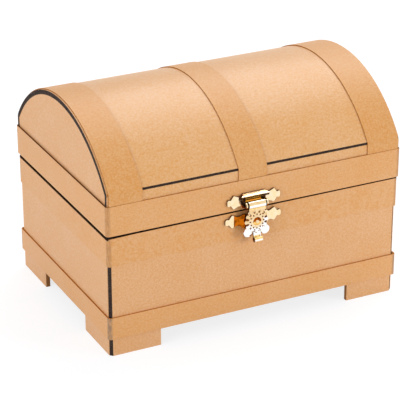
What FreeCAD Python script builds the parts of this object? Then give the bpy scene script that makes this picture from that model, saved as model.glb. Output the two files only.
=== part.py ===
"""Kraft-board treasure chest box: a footed base, a round-topped lid on two hinges and a gilt hasp clasp.

Millimetres, +Z up, the front towards -Y. The origin lies on the ground, under the middle of the whole box.
Places are written about the middle of the board box, and each sub-part's Placement then moves it by
middle_y, because the clasp and the hinges reach out unequally.
"""
import FreeCAD, Part
import math
import os
import re

import Sketcher

# Driving dimensions
SIZES = {
    # Base box, measured over its paper facings
    "box_width": 106.75,
    "box_depth": 76.0,
    "base_height": 42.25,
    "board": 1.4,
    "facing": 0.2,
    "lining": 0.2,
    "corner_bevel": 1.1,
    "foot_height": 6.4,
    "foot_length": 18.2,
    "side_foot_length": 20.5,
    "floor_level": 7.2,
    "facing_trim": 0.1,
    # Paper strips round the base
    "plinth_height": 7.8,
    "plinth_thick": 0.6,
    "plinth_round": 1.1,
    "rim_band_height": 9.8,
    "rim_band_thick": 0.25,
    "rim_band_round": 0.9,
    # Lid, which overhangs the base's facings a little
    "seam_gap": 1.1,
    "lid_over_ends": 0.05,
    "lid_over_front": 0.1,
    "flange_height": 14.1,
    "vault_rise": 19.8,
    "score_width": 0.8,
    "lid_band_height": 10.3,
    "lid_band_thick": 0.55,
    "lid_band_round": 1.1,
    # Straps over the lid
    "end_strap_width": 11.7,
    "centre_strap_width": 10.3,
    "strap_inset": 0.5,
    "strap_thick": 0.35,
    # The centre strap and the clasp stand left of the middle
    "middle_shift": 1.9,
    # Prongs that are pushed through the board and bent flat inside
    "prong_width": 1.6,
    "prong_thick": 0.4,
    "prong_tab": 2.3,
    "slot_fit": 0.05,
    # Hinges
    "hinge_inset": 22.375,
    "hinge_length": 13.0,
    "leaf_height": 7.0,
    "leaf_thick": 0.5,
    "leaf_prong_drop": 4.2,
    "leaf_prong_pitch": 7.0,
    "barrel_radius": 1.1,
    "hinge_pin_radius": 0.5,
    "knuckle_gap": 0.3,
    # Clasp plate on the lid
    "plate_thick": 0.7,
    "clasp_rise": 3.3,
    "clasp_length": 19.4,
    "clasp_height": 5.1,
    "plate_prong_pitch": 14.4,
    "yoke_width": 9.9,
    "yoke_over": 0.45,
    "yoke_lip": 0.6,
    "pin_drop": 1.15,
    "cheek_width": 0.65,
    "cheek_wall": 0.4,
    # Catch plate on the base
    "catch_drop": 2.55,
    "catch_length": 20.4,
    "catch_height": 4.8,
    "bridge_width": 13.2,
    "bridge_top_width": 6.0,
    "bridge_height": 3.6,
    # Hasp that hangs from the clasp plate
    "hasp_sheet": 0.6,
    "hasp_width": 6.1,
    "hasp_knuckle_radius": 1.25,
    "hasp_pin_radius": 0.5,
    "hasp_drop": 5.9,
    "rosette_radius": 4.45,
    "petal_radius": 1.0,
    "lobe_radius": 1.55,
    "lobe_spread": 3.3,
    "lobe_drop": 3.8,
    "tongue_width": 2.9,
    "lip_width": 3.4,
    "lip_radius": 1.2,
    "lip_drop": 6.3,
    "boss_radius": 1.5,
    "boss_height": 0.5,
    "dome_radius": 0.8,
    # Clearances
    "pin_fit": 0.05,
    "moving_gap": 0.3,
    "overrun": 1.0,
}

# Places and sizes that follow from the driving dimensions
PLACES = {
    "wall_x": "box_width / 2 - facing",
    "wall_y": "box_depth / 2 - facing",
    "inner_x": "wall_x - board",
    "inner_y": "wall_y - board",
    "bevel_middle": "(facing + corner_bevel) / 2",
    "floor_top": "floor_level + board",
    "base_face": "box_depth / 2 + rim_band_thick",
    "base_hollow": "inner_y - lining",
    "lid_bottom": "base_height + seam_gap",
    "lid_width": "box_width + 2 * lid_over_ends",
    "lid_depth": "box_depth + 2 * lid_over_front",
    "lid_face": "lid_depth / 2 + lid_band_thick",
    "lid_hollow": "lid_depth / 2 - facing - board - lining",
    "kink_level": "lid_bottom + flange_height",
    "vault_radius": "((lid_depth / 2) ^ 2 + vault_rise ^ 2) / (2 * vault_rise)",
    "vault_centre": "kink_level + vault_rise - vault_radius",
    "gable_span": "lid_width - 2 * facing - 2 * board",
    "hinge_x": "box_width / 2 - hinge_inset",
    "hinge_y": "lid_face + moving_gap + barrel_radius",
    "hinge_z": "base_height + seam_gap / 2",
    "hinge_third": "hinge_length / 3",
    "clasp_level": "lid_bottom + clasp_rise",
    "pin_level": "clasp_level - pin_drop",
    "catch_level": "base_height - catch_drop",
    "pin_reach": "lid_face + plate_thick + moving_gap + hasp_knuckle_radius",
    "hasp_back": "pin_reach - hasp_sheet / 2",
    "front_reach": "hasp_back + 2 * lip_radius",
    "back_reach": "hinge_y + barrel_radius",
    "middle_y": "(front_reach - back_reach) / 2",
}

# Half of a clasp plate's outline: shares of its half length and half height, from its shoulder to its tip
FINIAL_SHARES = (
    (0.4, 1.0), (0.49, 0.68), (0.6, 0.64), (0.73, 0.94), (0.79, 0.52), (0.9, 0.38), (1.0, 0.3),
)
PETAL_COUNT = 12

doc = FreeCAD.newDocument("TreasureChest")
nodes = []


def qualified(formula):
    """The formula with each named value written as its cell."""
    def cell(match):
        word = match.group()
        if word in SIZES:
            return "Sizes." + word
        if word in PLACES:
            return "Places." + word
        return word
    return re.sub(r"[a-z_]+", cell, formula)


def make_sheet(name, cells):
    """A sheet with one named value in each row."""
    sheet = doc.addObject("Spreadsheet::Sheet", name)
    for row, (alias, content) in enumerate(cells.items(), 1):
        sheet.set(f"A{row}", alias)
        sheet.set(f"B{row}", content)
        sheet.setAlias(f"B{row}", alias)
    return sheet


sizes = make_sheet("Sizes", {alias: str(number) for alias, number in SIZES.items()})
make_sheet("Places", {alias: "=" + qualified(formula) for alias, formula in PLACES.items()})
doc.recompute()


def value(formula):
    """The formula's present value."""
    return float(sizes.evalExpression(qualified(formula)))


def bind(thing, **formulas):
    """Binds an object's properties to formulas."""
    for prop, formula in formulas.items():
        thing.setExpression(prop, qualified(formula))


def place(thing, x, y, z):
    """Binds an object's place to formulas."""
    for axis, formula in zip("xyz", (x, y, z)):
        thing.setExpression(f"Placement.Base.{axis}", qualified(formula))


def block(name, corner, size):
    """A box from its lowest corner and its size along X, Y and Z."""
    box = doc.addObject("Part::Box", name)
    bind(box, Length=size[0], Width=size[1], Height=size[2])
    place(box, *corner)
    return box


# Turns that lay a cylinder along an axis
ALONG = {
    "X": FreeCAD.Rotation(FreeCAD.Vector(0, 1, 0), 90),
    "Y": FreeCAD.Rotation(FreeCAD.Vector(1, 0, 0), -90),
}


def rod(name, axis, start, radius, length):
    """A cylinder that runs along an axis from its start."""
    cylinder = doc.addObject("Part::Cylinder", name)
    cylinder.Placement = FreeCAD.Placement(FreeCAD.Vector(), ALONG[axis])
    bind(cylinder, Radius=radius, Height=length)
    place(cylinder, *start)
    return cylinder


def fuse(name, shapes):
    """One solid from several that meet."""
    joined = doc.addObject("Part::MultiFuse", name)
    joined.Shapes = shapes
    joined.Refine = True
    return joined


def cut(name, base, tools):
    """A solid with the tools cut away."""
    tool = doc.addObject("Part::Compound", name + "_tools")
    tool.Links = tools
    result = doc.addObject("Part::Cut", name)
    result.Base = base
    result.Tool = tool
    return result


def draw_loop(sketch, corners, arcs=None):
    """Adds a closed loop to a sketch.

    The corners are pairs of formulas. arcs gives, for the corner where an arc starts, its radius and
    1 where it turns left or -1 where it turns right. Each arc is under a half circle.
    """
    arcs = arcs or {}
    first = sketch.GeometryCount
    points = [FreeCAD.Vector(value(across), value(up), 0) for across, up in corners]
    count = len(points)
    ends = []
    for index, start in enumerate(points):
        end = points[(index + 1) % count]
        if index not in arcs:
            sketch.addGeometry(Part.LineSegment(start, end))
            ends.append((1, 2))
            continue
        radius, turn = value(arcs[index][0]), arcs[index][1]
        chord = end - start
        inward = FreeCAD.Vector(-chord.y, chord.x, 0).normalize() * turn
        centre = (start + end) / 2 + inward * math.sqrt(radius ** 2 - chord.Length ** 2 / 4)
        angles = [math.atan2(point.y - centre.y, point.x - centre.x) for point in (start, end)][::turn]
        circle = Part.Circle(centre, FreeCAD.Vector(0, 0, 1), radius)
        sketch.addGeometry(Part.ArcOfCircle(circle, *angles))
        ends.append((1, 2)[::turn])
    for index in range(count):
        here, after = first + index, first + (index + 1) % count
        sketch.addConstraint(Sketcher.Constraint(
            "Coincident", here, ends[index][1], after, ends[(index + 1) % count][0]))
    for index, (across, up) in enumerate(corners):
        for kind, formula in (("DistanceX", across), ("DistanceY", up)):
            number = sketch.addConstraint(Sketcher.Constraint(
                kind, -1, 1, first + index, ends[index][0], value(formula)))
            sketch.setExpression(f"Constraints[{number}]", qualified(formula))
    for index, (radius, _) in arcs.items():
        number = sketch.addConstraint(Sketcher.Constraint("Radius", first + index, value(radius)))
        sketch.setExpression(f"Constraints[{number}]", qualified(radius))


def padded(name, plane, loops, length):
    """A body padded from closed loops on one of its origin planes."""
    body = doc.addObject("PartDesign::Body", name)
    origin = {feature.Role: feature for feature in body.Origin.OriginFeatures}
    sketch = body.newObject("Sketcher::SketchObject", name + "_sketch")
    sketch.AttachmentSupport = [(origin[plane], "")]
    sketch.MapMode = "FlatFace"
    for loop in loops:
        draw_loop(sketch, *loop)
    pad = body.newObject("PartDesign::Pad", name + "_pad")
    pad.Profile = sketch
    bind(pad, Length=length)
    return body


def keep(thing, x="0", y="0", z="0"):
    """Puts a finished sub-part in its place, labelled with its own name."""
    thing.Label = thing.Name
    place(thing, x, f"middle_y + ({y})", z)
    nodes.append(thing)


def rectangle(half_x, half_y):
    """A loop round a rectangle about the origin."""
    signs = (("-", "-"), ("", "-"), ("", ""), ("-", ""))
    return ([(f"{sign_x}({half_x})", f"{sign_y}({half_y})") for sign_x, sign_y in signs],)


def corner_pairs(half_x, half_y, trim):
    """The eight points of a rectangle whose corners are taken off by the trim, counter-clockwise."""
    long_x, long_y = f"({half_x})", f"({half_y})"
    short_x, short_y = f"({half_x} - {trim})", f"({half_y} - {trim})"
    return [("-" + short_x, "-" + long_y), (short_x, "-" + long_y),
            (long_x, "-" + short_y), (long_x, short_y),
            (short_x, long_y), ("-" + short_x, long_y),
            ("-" + long_x, short_y), ("-" + long_x, "-" + short_y)]


def rounded(half_x, half_y, radius):
    """A loop round a rectangle with rounded corners."""
    return corner_pairs(half_x, half_y, radius), {index: (radius, 1) for index in (1, 3, 5, 7)}


def bevelled(half_x, half_y, bevel):
    """A loop round a rectangle with bevelled corners."""
    return (corner_pairs(half_x, half_y, bevel),)


# Prongs and their slots

def prong_boxes(name, front, centres, level, face, hollow):
    """Prongs from a plate's back, through the board to its hollow side, each with its bent tab."""
    boxes = []
    for number, centre in enumerate(centres):
        left = f"{centre} - prong_width / 2"
        low = f"{level} - prong_thick / 2"
        stem_y = f"-({face})" if front else f"{hollow} - prong_thick"
        tab_y = f"-({hollow})" if front else f"{hollow} - prong_thick"
        boxes.append(block(f"{name}_stem_{number}", (left, stem_y, low),
                           ("prong_width", f"{face} - {hollow} + prong_thick", "prong_thick")))
        boxes.append(block(f"{name}_tab_{number}", (left, tab_y, low),
                           ("prong_width", "prong_thick", "prong_tab")))
    return boxes


def slot_boxes(name, front, centres, level, face, hollow):
    """Tools that cut the prongs' slots through every layer of the board."""
    boxes = []
    for number, centre in enumerate(centres):
        start_y = f"-({face}) - overrun" if front else f"{hollow} - overrun"
        left = f"{centre} - prong_width / 2 - slot_fit"
        low = f"{level} - prong_thick / 2 - slot_fit"
        depth = f"{face} - {hollow} + 2 * overrun"
        boxes.append(block(f"{name}_{number}", (left, start_y, low),
                           ("prong_width + 2 * slot_fit", depth, "prong_thick + 2 * slot_fit")))
    return boxes


HINGES = {"left": "-hinge_x", "right": "hinge_x"}
PLATE_PRONGS = ("-middle_shift - plate_prong_pitch / 2", "-middle_shift + plate_prong_pitch / 2")


def leaf_prongs(middle):
    """The places of a hinge leaf's two prongs along X."""
    return (f"{middle} - leaf_prong_pitch / 2", f"{middle} + leaf_prong_pitch / 2")


ALL_LEAF_PRONGS = [centre for middle in HINGES.values() for centre in leaf_prongs(middle)]
BASE_STACK = ("base_face", "base_hollow")
LID_STACK = ("lid_face", "lid_hollow")
BASE_LEAF_LEVEL = "hinge_z - leaf_prong_drop"
LID_LEAF_LEVEL = "hinge_z + leaf_prong_drop"

catch_slots = slot_boxes("catch_slot", True, PLATE_PRONGS, "catch_level", *BASE_STACK)
clasp_slots = slot_boxes("clasp_slot", True, PLATE_PRONGS, "clasp_level", *LID_STACK)
base_hinge_slots = slot_boxes("base_hinge_slot", False, ALL_LEAF_PRONGS, BASE_LEAF_LEVEL, *BASE_STACK)
lid_hinge_slots = slot_boxes("lid_hinge_slot", False, ALL_LEAF_PRONGS, LID_LEAF_LEVEL, *LID_STACK)

# Base: walls and their facings, with the arches between the feet

arch_along = block("arch_along", ("foot_length - box_width / 2", "-box_depth / 2 - overrun", "-overrun"),
                   ("box_width - 2 * foot_length", "box_depth + 2 * overrun", "foot_height + overrun"))
arch_across = block("arch_across", ("-box_width / 2 - overrun", "side_foot_length - box_depth / 2", "-overrun"),
                    ("box_width + 2 * overrun", "box_depth - 2 * side_foot_length", "foot_height + overrun"))


def wall_loop(side):
    """Plan of one wall: its face between the bevels, half of each bevel, and the mitres."""
    along_x = ("box_width / 2", "wall_x", "inner_x")
    along_y = ("box_depth / 2", "wall_y", "inner_y")
    run, reach = (along_x, along_y) if side in ("front", "back") else (along_y, along_x)
    half_plan = [(f"{run[0]} - corner_bevel", reach[1]),
                 (f"{run[0]} - bevel_middle", f"{reach[0]} - bevel_middle"),
                 (run[2], reach[2])]
    plan = half_plan + [(f"-({along})", out) for along, out in reversed(half_plan)]
    if side == "back":
        return (plan,)
    if side == "front":
        return ([(along, f"-({out})") for along, out in plan],)
    if side == "right":
        return ([(out, along) for along, out in plan],)
    return ([(f"-({out})", along) for along, out in plan],)


FACING_BOXES = {
    "front": ("corner_bevel - box_width / 2", "-box_depth / 2", "box_width - 2 * corner_bevel", "facing"),
    "back": ("corner_bevel - box_width / 2", "wall_y", "box_width - 2 * corner_bevel", "facing"),
    "left": ("-box_width / 2", "corner_bevel - box_depth / 2", "facing", "box_depth - 2 * corner_bevel"),
    "right": ("wall_x", "corner_bevel - box_depth / 2", "facing", "box_depth - 2 * corner_bevel"),
}
WALL_CUTS = {
    "front": [arch_along] + catch_slots,
    "back": [arch_along] + base_hinge_slots,
    "left": [arch_across],
    "right": [arch_across],
}
for side, tools in WALL_CUTS.items():
    wall = padded(f"{side}_wall_blank", "XY_Plane", [wall_loop(side)], "base_height")
    keep(cut(f"base_{side}_wall", wall, tools))
    left, front, width, depth = FACING_BOXES[side]
    sheet = block(f"{side}_facing_blank", (left, front, "facing_trim"),
                  (width, depth, "base_height - facing_trim"))
    keep(cut(f"base_{side}_facing", sheet, tools))

# Base: floor and linings

FLOOR_LAYERS = {"base_floor": ("floor_level", "board"), "floor_lining": ("floor_top", "lining")}
for name, (level, thick) in FLOOR_LAYERS.items():
    floor_corner = ("-inner_x", "-inner_y", level)
    keep(block(name, floor_corner, ("2 * inner_x", "2 * inner_y", thick)), *floor_corner)
lining_blank = padded("lining_blank", "XY_Plane",
                      [rectangle("inner_x", "inner_y"), rectangle("inner_x - lining", "base_hollow")],
                      "base_height - floor_top - lining")
place(lining_blank, "0", "0", "floor_top + lining")
keep(cut("base_lining", lining_blank, catch_slots + base_hinge_slots))

# Base: paper strips round the walls


def band(name, width, depth, thick, radius, height, level, inside):
    """A strip round the box, rounded outside, that fits the given loop inside."""
    outside = rounded(f"{width} / 2 + {thick}", f"{depth} / 2 + {thick}", radius)
    strip = padded(name, "XY_Plane", [outside, inside], height)
    place(strip, "0", "0", level)
    return strip


base_outside = bevelled("box_width / 2", "box_depth / 2", "corner_bevel")
plinth = band("base_plinth_band", "box_width", "box_depth", "plinth_thick", "plinth_round",
              "plinth_height", "foot_height", base_outside)
keep(plinth, z="foot_height")
rim_blank = band("rim_band_blank", "box_width", "box_depth", "rim_band_thick", "rim_band_round",
                 "rim_band_height", "base_height - rim_band_height", base_outside)
keep(cut("base_rim_band", rim_blank, catch_slots + base_hinge_slots))

# Lid: the vaulted board, drawn across its section


def kink(inset):
    """The level where the flange meets the arc, on the surface this far inside the lid's facing."""
    return f"vault_centre + sqrt((vault_radius - {inset}) ^ 2 - (lid_depth / 2 - {inset}) ^ 2)"


def shell_loop(outer, inner, bottom):
    """Section of a layer that runs up one flange, over the vault and down the other."""
    out_y, in_y = f"(lid_depth / 2 - {outer})", f"(lid_depth / 2 - {inner})"
    corners = [(out_y, bottom), (out_y, kink(outer)), (f"-{out_y}", kink(outer)), (f"-{out_y}", bottom),
               (f"-{in_y}", bottom), (f"-{in_y}", kink(inner)), (in_y, kink(inner)), (in_y, bottom)]
    return corners, {1: (f"vault_radius - {outer}", 1), 5: (f"vault_radius - {inner}", -1)}


def gable_loop(inset):
    """Section inside the vault, closed along its lower edge."""
    half = f"(lid_depth / 2 - {inset})"
    corners = [(f"-{half}", "lid_bottom"), (half, "lid_bottom"),
               (half, kink(inset)), (f"-{half}", kink(inset))]
    return corners, {2: (f"vault_radius - {inset}", 1)}


def arc_loop(outer, inner, bottom):
    """Section of a layer over the vault alone, trimmed level above the score line."""
    def reach(inset):
        return f"sqrt((vault_radius - {inset}) ^ 2 - ({bottom} - vault_centre) ^ 2)"
    corners = [(reach(outer), bottom), (f"-{reach(outer)}", bottom),
               (f"-{reach(inner)}", bottom), (reach(inner), bottom)]
    return corners, {0: (f"vault_radius - {outer}", 1), 2: (f"vault_radius - {inner}", -1)}


BOARD_INNER = "(facing + board)"
LINING_INNER = "(facing + board + lining)"
lid_slots = clasp_slots + lid_hinge_slots

board_loop = shell_loop("facing", BOARD_INNER, "lid_bottom")
vault_blank = padded("vault_blank", "YZ_Plane", [board_loop], "lid_width")
place(vault_blank, "-lid_width / 2", "0", "0")
keep(cut("lid_vault_board", vault_blank, lid_slots))
lining_loop = shell_loop(BOARD_INNER, LINING_INNER, "lid_bottom")
vault_lining = padded("vault_lining_blank", "YZ_Plane", [lining_loop], "gable_span")
place(vault_lining, "-gable_span / 2", "0", "0")
keep(cut("lid_vault_lining", vault_lining, lid_slots))
facing_loop = arc_loop("0", "facing", "(kink_level + score_width / 2)")
keep(padded("lid_vault_facing", "YZ_Plane", [facing_loop], "lid_width"), "-lid_width / 2")

# Lid: flange facings below the score line

FLANGE_FACINGS = {
    "front": ("-lid_depth / 2", clasp_slots),
    "back": ("lid_depth / 2 - facing", lid_hinge_slots),
}
for side, (face_y, tools) in FLANGE_FACINGS.items():
    sheet = block(f"{side}_flange_blank", ("-lid_width / 2", face_y, "lid_bottom"),
                  ("lid_width", "facing", "flange_height - score_width / 2"))
    keep(cut(f"lid_{side}_flange_facing", sheet, tools))

# Lid: gables, with a facing outside and a lining inside

GABLE_LAYERS = {
    "gable": (BOARD_INNER, "board", "-lid_width / 2 + facing", "lid_width / 2 - facing - board"),
    "gable_facing": (BOARD_INNER, "facing", "-lid_width / 2", "lid_width / 2 - facing"),
    "gable_lining": (LINING_INNER, "lining", "-gable_span / 2", "gable_span / 2 - lining"),
}
for layer, (inset, thick, left_x, right_x) in GABLE_LAYERS.items():
    for side, x in (("left", left_x), ("right", right_x)):
        keep(padded(f"lid_{side}_{layer}", "YZ_Plane", [gable_loop(inset)], thick), x)

# Lid: the strip round its lower edge and the straps that butt on it

lid_band_blank = band("lid_band_blank", "lid_width", "lid_depth", "lid_band_thick", "lid_band_round",
                      "lid_band_height", "lid_bottom", rectangle("lid_width / 2", "lid_depth / 2"))
keep(cut("lid_rim_band", lid_band_blank, lid_slots))

STRAPS = {
    "left_strap": ("end_strap_width", "-lid_width / 2 + strap_inset"),
    "centre_strap": ("centre_strap_width", "-middle_shift - centre_strap_width / 2"),
    "right_strap": ("end_strap_width", "lid_width / 2 - strap_inset - end_strap_width"),
}
strap_loop = shell_loop("(-strap_thick)", "0", "lid_bottom + lid_band_height")
for name, (width, x) in STRAPS.items():
    keep(padded(name, "YZ_Plane", [strap_loop], width), x)

# Hinges: leaves with rolled knuckles, and the pins


def hinge_leaf(name, middle, is_base):
    """One leaf: a plate on the board, webs out to its knuckles, and prongs through the board."""
    face = "base_face" if is_base else "lid_face"
    left = f"{middle} - hinge_length / 2"
    plate_height = "leaf_height - barrel_radius - moving_gap"
    plate_low = "hinge_z - leaf_height" if is_base else "hinge_z + barrel_radius + moving_gap"
    web_low = "hinge_z - barrel_radius - moving_gap" if is_base else "hinge_z"
    if is_base:
        end_length = "hinge_third - knuckle_gap / 2"
        knuckles = [(left, end_length), (f"{middle} + hinge_third / 2 + knuckle_gap / 2", end_length)]
    else:
        knuckles = [(f"{middle} - hinge_third / 2 + knuckle_gap / 2", "hinge_third - knuckle_gap")]
    plate_size = ("hinge_length", "leaf_thick", plate_height)
    shapes = [block(f"{name}_plate", (left, face, plate_low), plate_size)]
    for number, (start, length) in enumerate(knuckles):
        web_size = (length, f"hinge_y - barrel_radius / 2 - {face}", "barrel_radius + moving_gap")
        shapes.append(block(f"{name}_web_{number}", (start, face, web_low), web_size))
        axis_start = (start, "hinge_y", "hinge_z")
        shapes.append(rod(f"{name}_knuckle_{number}", "X", axis_start, "barrel_radius", length))
    level, stack = (BASE_LEAF_LEVEL, BASE_STACK) if is_base else (LID_LEAF_LEVEL, LID_STACK)
    shapes += prong_boxes(name, False, leaf_prongs(middle), level, *stack)
    bore = rod(f"{name}_bore", "X", (f"{left} - overrun", "hinge_y", "hinge_z"),
               "hinge_pin_radius + pin_fit", "hinge_length + 2 * overrun")
    return cut(name, fuse(f"{name}_blank", shapes), [bore])


for side, middle in HINGES.items():
    keep(hinge_leaf(f"{side}_hinge_base_leaf", middle, True))
    keep(hinge_leaf(f"{side}_hinge_lid_leaf", middle, False))
    pin_start = (f"{middle} - hinge_length / 2", "hinge_y", "hinge_z")
    keep(rod(f"{side}_hinge_pin", "X", pin_start, "hinge_pin_radius", "hinge_length"), *pin_start)

# Clasp: two plates of one outline


def clasp_outline(length, height):
    """The outline of a clasp plate: a straight middle with a turned finial at each end."""
    quarter = [(f"{length} / 2 * {along}", f"{height} / 2 * {out}") for along, out in FINIAL_SHARES]
    half = quarter + [(along, f"-{out}") for along, out in reversed(quarter)]
    right = [(along, f"-({out})") for along, out in half]
    left = [(f"-({along})", out) for along, out in half]
    return (right + left,)


def clasp_blank(name, length, height, face, level):
    """A clasp plate, flat on its face of the box."""
    plate = padded(name, "XZ_Plane", [clasp_outline(length, height)], "plate_thick")
    place(plate, "-middle_shift", f"-{face}", level)
    return plate


cheek_y = "-pin_reach - hasp_pin_radius - cheek_wall"
cheek_low = "clasp_level - clasp_height / 2"
cheek_size = ("cheek_width", "pin_reach + hasp_pin_radius + cheek_wall - lid_face", "clasp_height")
yoke_left = "-middle_shift - yoke_width / 2"
awning_low = "pin_level + hasp_knuckle_radius + moving_gap"
awning_top = "clasp_level + clasp_height / 2"
awning_reach = "-pin_reach - yoke_over"
awning_section = [
    ("-lid_face", awning_low), ("-lid_face", awning_top), ("-lid_face - plate_thick", awning_top),
    (awning_reach, f"{awning_low} + yoke_lip"), (awning_reach, awning_low),
]
awning = padded("awning", "YZ_Plane", [(awning_section,)], "yoke_width")
place(awning, yoke_left, "0", "0")
yoke = [
    block("left_cheek", (yoke_left, cheek_y, cheek_low), cheek_size),
    block("right_cheek", (f"{yoke_left} + yoke_width - cheek_width", cheek_y, cheek_low), cheek_size),
    awning,
]
clasp_flat = clasp_blank("clasp_flat", "clasp_length", "clasp_height", "lid_face", "clasp_level")
clasp_shapes = [clasp_flat] + yoke + prong_boxes("clasp", True, PLATE_PRONGS, "clasp_level", *LID_STACK)
pin_bore = rod("pin_bore", "X", (f"{yoke_left} - overrun", "-pin_reach", "pin_level"),
               "hasp_pin_radius + pin_fit", "yoke_width + 2 * overrun")
keep(cut("clasp_plate", fuse("clasp_joined", clasp_shapes), [pin_bore]))

pin_corner = (yoke_left, "-pin_reach", "pin_level")
keep(rod("hasp_pin", "X", pin_corner, "hasp_pin_radius", "yoke_width"), *pin_corner)

catch_flat = clasp_blank("catch_flat", "catch_length", "catch_height", "base_face", "catch_level")
bridge_plan = [
    ("-bridge_width / 2", "-base_face"), ("-bridge_top_width / 2", "moving_gap - hasp_back"),
    ("bridge_top_width / 2", "moving_gap - hasp_back"), ("bridge_width / 2", "-base_face"),
]
bridge = padded("bridge", "XY_Plane", [(bridge_plan,)], "bridge_height")
place(bridge, "-middle_shift", "0", "catch_level - bridge_height / 2")
catch_prongs = prong_boxes("catch", True, PLATE_PRONGS, "catch_level", *BASE_STACK)
keep(fuse("catch_plate", [catch_flat, bridge] + catch_prongs))

# Hasp: drawn about its pin, hanging down


def hasp_disc(name, x, z, radius):
    """A round part of the hasp's sheet."""
    return rod(name, "Y", (x, "-hasp_sheet / 2", z), radius, "hasp_sheet")


petal_circle = "(rosette_radius - petal_radius)"
lobe_level = "-hasp_drop - lobe_drop"
lip_level = "-hasp_drop - lip_drop"
lip_y = "hasp_sheet / 2 - lip_radius"
hasp_shapes = [
    rod("hasp_knuckle", "X", ("-hasp_width / 2", "0", "0"), "hasp_knuckle_radius", "hasp_width"),
    block("hasp_neck", ("-hasp_width / 2", "-hasp_sheet / 2", "-hasp_drop"),
          ("hasp_width", "hasp_sheet", "hasp_drop")),
    hasp_disc("rosette", "0", "-hasp_drop", petal_circle),
    hasp_disc("left_lobe", "-lobe_spread", lobe_level, "lobe_radius"),
    hasp_disc("right_lobe", "lobe_spread", lobe_level, "lobe_radius"),
    block("tongue", ("-tongue_width / 2", "-hasp_sheet / 2", lip_level),
          ("tongue_width", "hasp_sheet", "lip_drop")),
    rod("lip", "X", ("-lip_width / 2", lip_y, lip_level), "lip_radius", "lip_width"),
    rod("boss", "Y", ("0", "-hasp_sheet / 2 - boss_height", "-hasp_drop"), "boss_radius", "boss_height"),
]
for number in range(PETAL_COUNT):
    angle = 360 * number / PETAL_COUNT
    hasp_shapes.append(hasp_disc(f"petal_{number}", f"{petal_circle} * cos({angle})",
                                 f"{petal_circle} * sin({angle}) - hasp_drop", "petal_radius"))
dome = doc.addObject("Part::Sphere", "dome")
bind(dome, Radius="dome_radius")
place(dome, "0", "-hasp_sheet / 2 - boss_height", "-hasp_drop")
hasp_shapes.append(dome)
hasp_bores = [
    rod("knuckle_bore", "X", ("-hasp_width / 2 - overrun", "0", "0"), "hasp_pin_radius + pin_fit",
        "hasp_width + 2 * overrun"),
    rod("lip_bore", "X", ("-lip_width / 2 - overrun", lip_y, lip_level), "lip_radius - hasp_sheet",
        "lip_width + 2 * overrun"),
]
keep(cut("hasp", fuse("hasp_joined", hasp_shapes), hasp_bores), "-middle_shift", "-pin_reach", "pin_level")

# Build, check and write every sub-part

doc.recompute()
for thing in doc.Objects:
    if {"Invalid", "Error"} & set(thing.State):
        raise RuntimeError(f"{thing.Name} failed: {thing.State}")
for thing in nodes:
    shape = thing.Shape
    if shape.isNull() or not shape.isValid() or len(shape.Solids) != 1:
        raise RuntimeError(f"{thing.Label} is not one valid solid")

os.makedirs("parts", exist_ok=True)
for thing in nodes:
    thing.Shape.exportStep(f"parts/{thing.Label}.step")
print(f"{len(nodes)} sub-parts written")
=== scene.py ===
"""Kraft-board treasure chest box: its paper strips, vaulted lid, gilt clasp, hinges, finishes and stage.

Metres, +Z up, the front towards -Y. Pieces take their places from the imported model's own nodes.
"""
import math

import bmesh
import bpy
from bpy.props import FloatProperty, FloatVectorProperty, IntProperty, PointerProperty
from mathutils import Matrix, Vector


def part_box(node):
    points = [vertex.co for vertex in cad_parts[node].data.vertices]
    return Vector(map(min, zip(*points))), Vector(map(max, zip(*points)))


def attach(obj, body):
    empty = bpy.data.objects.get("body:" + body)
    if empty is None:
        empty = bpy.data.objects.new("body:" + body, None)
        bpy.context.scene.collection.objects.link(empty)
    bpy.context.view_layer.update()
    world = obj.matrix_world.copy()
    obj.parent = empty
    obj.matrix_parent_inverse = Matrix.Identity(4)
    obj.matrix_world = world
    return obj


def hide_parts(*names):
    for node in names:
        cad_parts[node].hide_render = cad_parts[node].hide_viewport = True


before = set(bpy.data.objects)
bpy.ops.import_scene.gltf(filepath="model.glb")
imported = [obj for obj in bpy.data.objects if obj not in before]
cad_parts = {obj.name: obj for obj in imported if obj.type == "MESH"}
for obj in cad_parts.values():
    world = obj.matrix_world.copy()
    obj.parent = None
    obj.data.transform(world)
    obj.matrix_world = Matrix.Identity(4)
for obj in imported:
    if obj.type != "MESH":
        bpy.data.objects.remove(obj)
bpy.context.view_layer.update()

bl_info = {
    "name": "Treasure Chest Box",
    "version": (1, 0, 0),
    "blender": (4, 5, 0),
    "location": "View3D > Sidebar > Chest",
    "description": "Dresses a kraft-board treasure chest box with paper strips, a gilt clasp and a stage",
    "category": "Object",
}

MM = 0.001
X, Y, Z = range(3)
AXES = Matrix.Identity(3)
SIDES = (-1, 1)
WHITE = (1.0, 1.0, 1.0)
SHARP_ANGLE = math.radians(40)
CUT_REACH = 1e-7
WELD_REACH = 1e-6

# Places of a piece's finishes: its face, cut edges, dark or amber part in painted shade, side, painted
# reflection (gleam) and painted highlight (palest part)
FACE, RIM, IN_SHADE, SIDE, GLEAM, HIGHLIT = range(6)
# How far a face has to be turned towards an axis to count as facing it: loosely, and closely
LOOSE_TILT = 0.5
CLOSE_TILT = 0.7

# Nodes that keep their own shapes, by finish
PLAIN_NODES = {
    "dark_core_board": ("base_front_wall", "base_back_wall", "base_left_wall", "base_right_wall",
                        "base_floor", "lid_vault_board", "lid_left_gable", "lid_right_gable"),
    "kraft_facing": ("base_front_facing", "base_back_facing", "base_left_facing", "base_right_facing",
                     "base_lining", "floor_lining", "lid_vault_lining", "lid_left_gable_facing",
                     "lid_right_gable_facing", "lid_left_gable_lining", "lid_right_gable_lining"),
    "kraft_vault": ("lid_front_flange_facing", "lid_back_flange_facing"),
}
# Kraft finishes of pieces that lie away from the seam, and so get none of its painted shade
AWAY_FROM_SEAM = ("kraft_vault", "kraft_strap")
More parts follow.
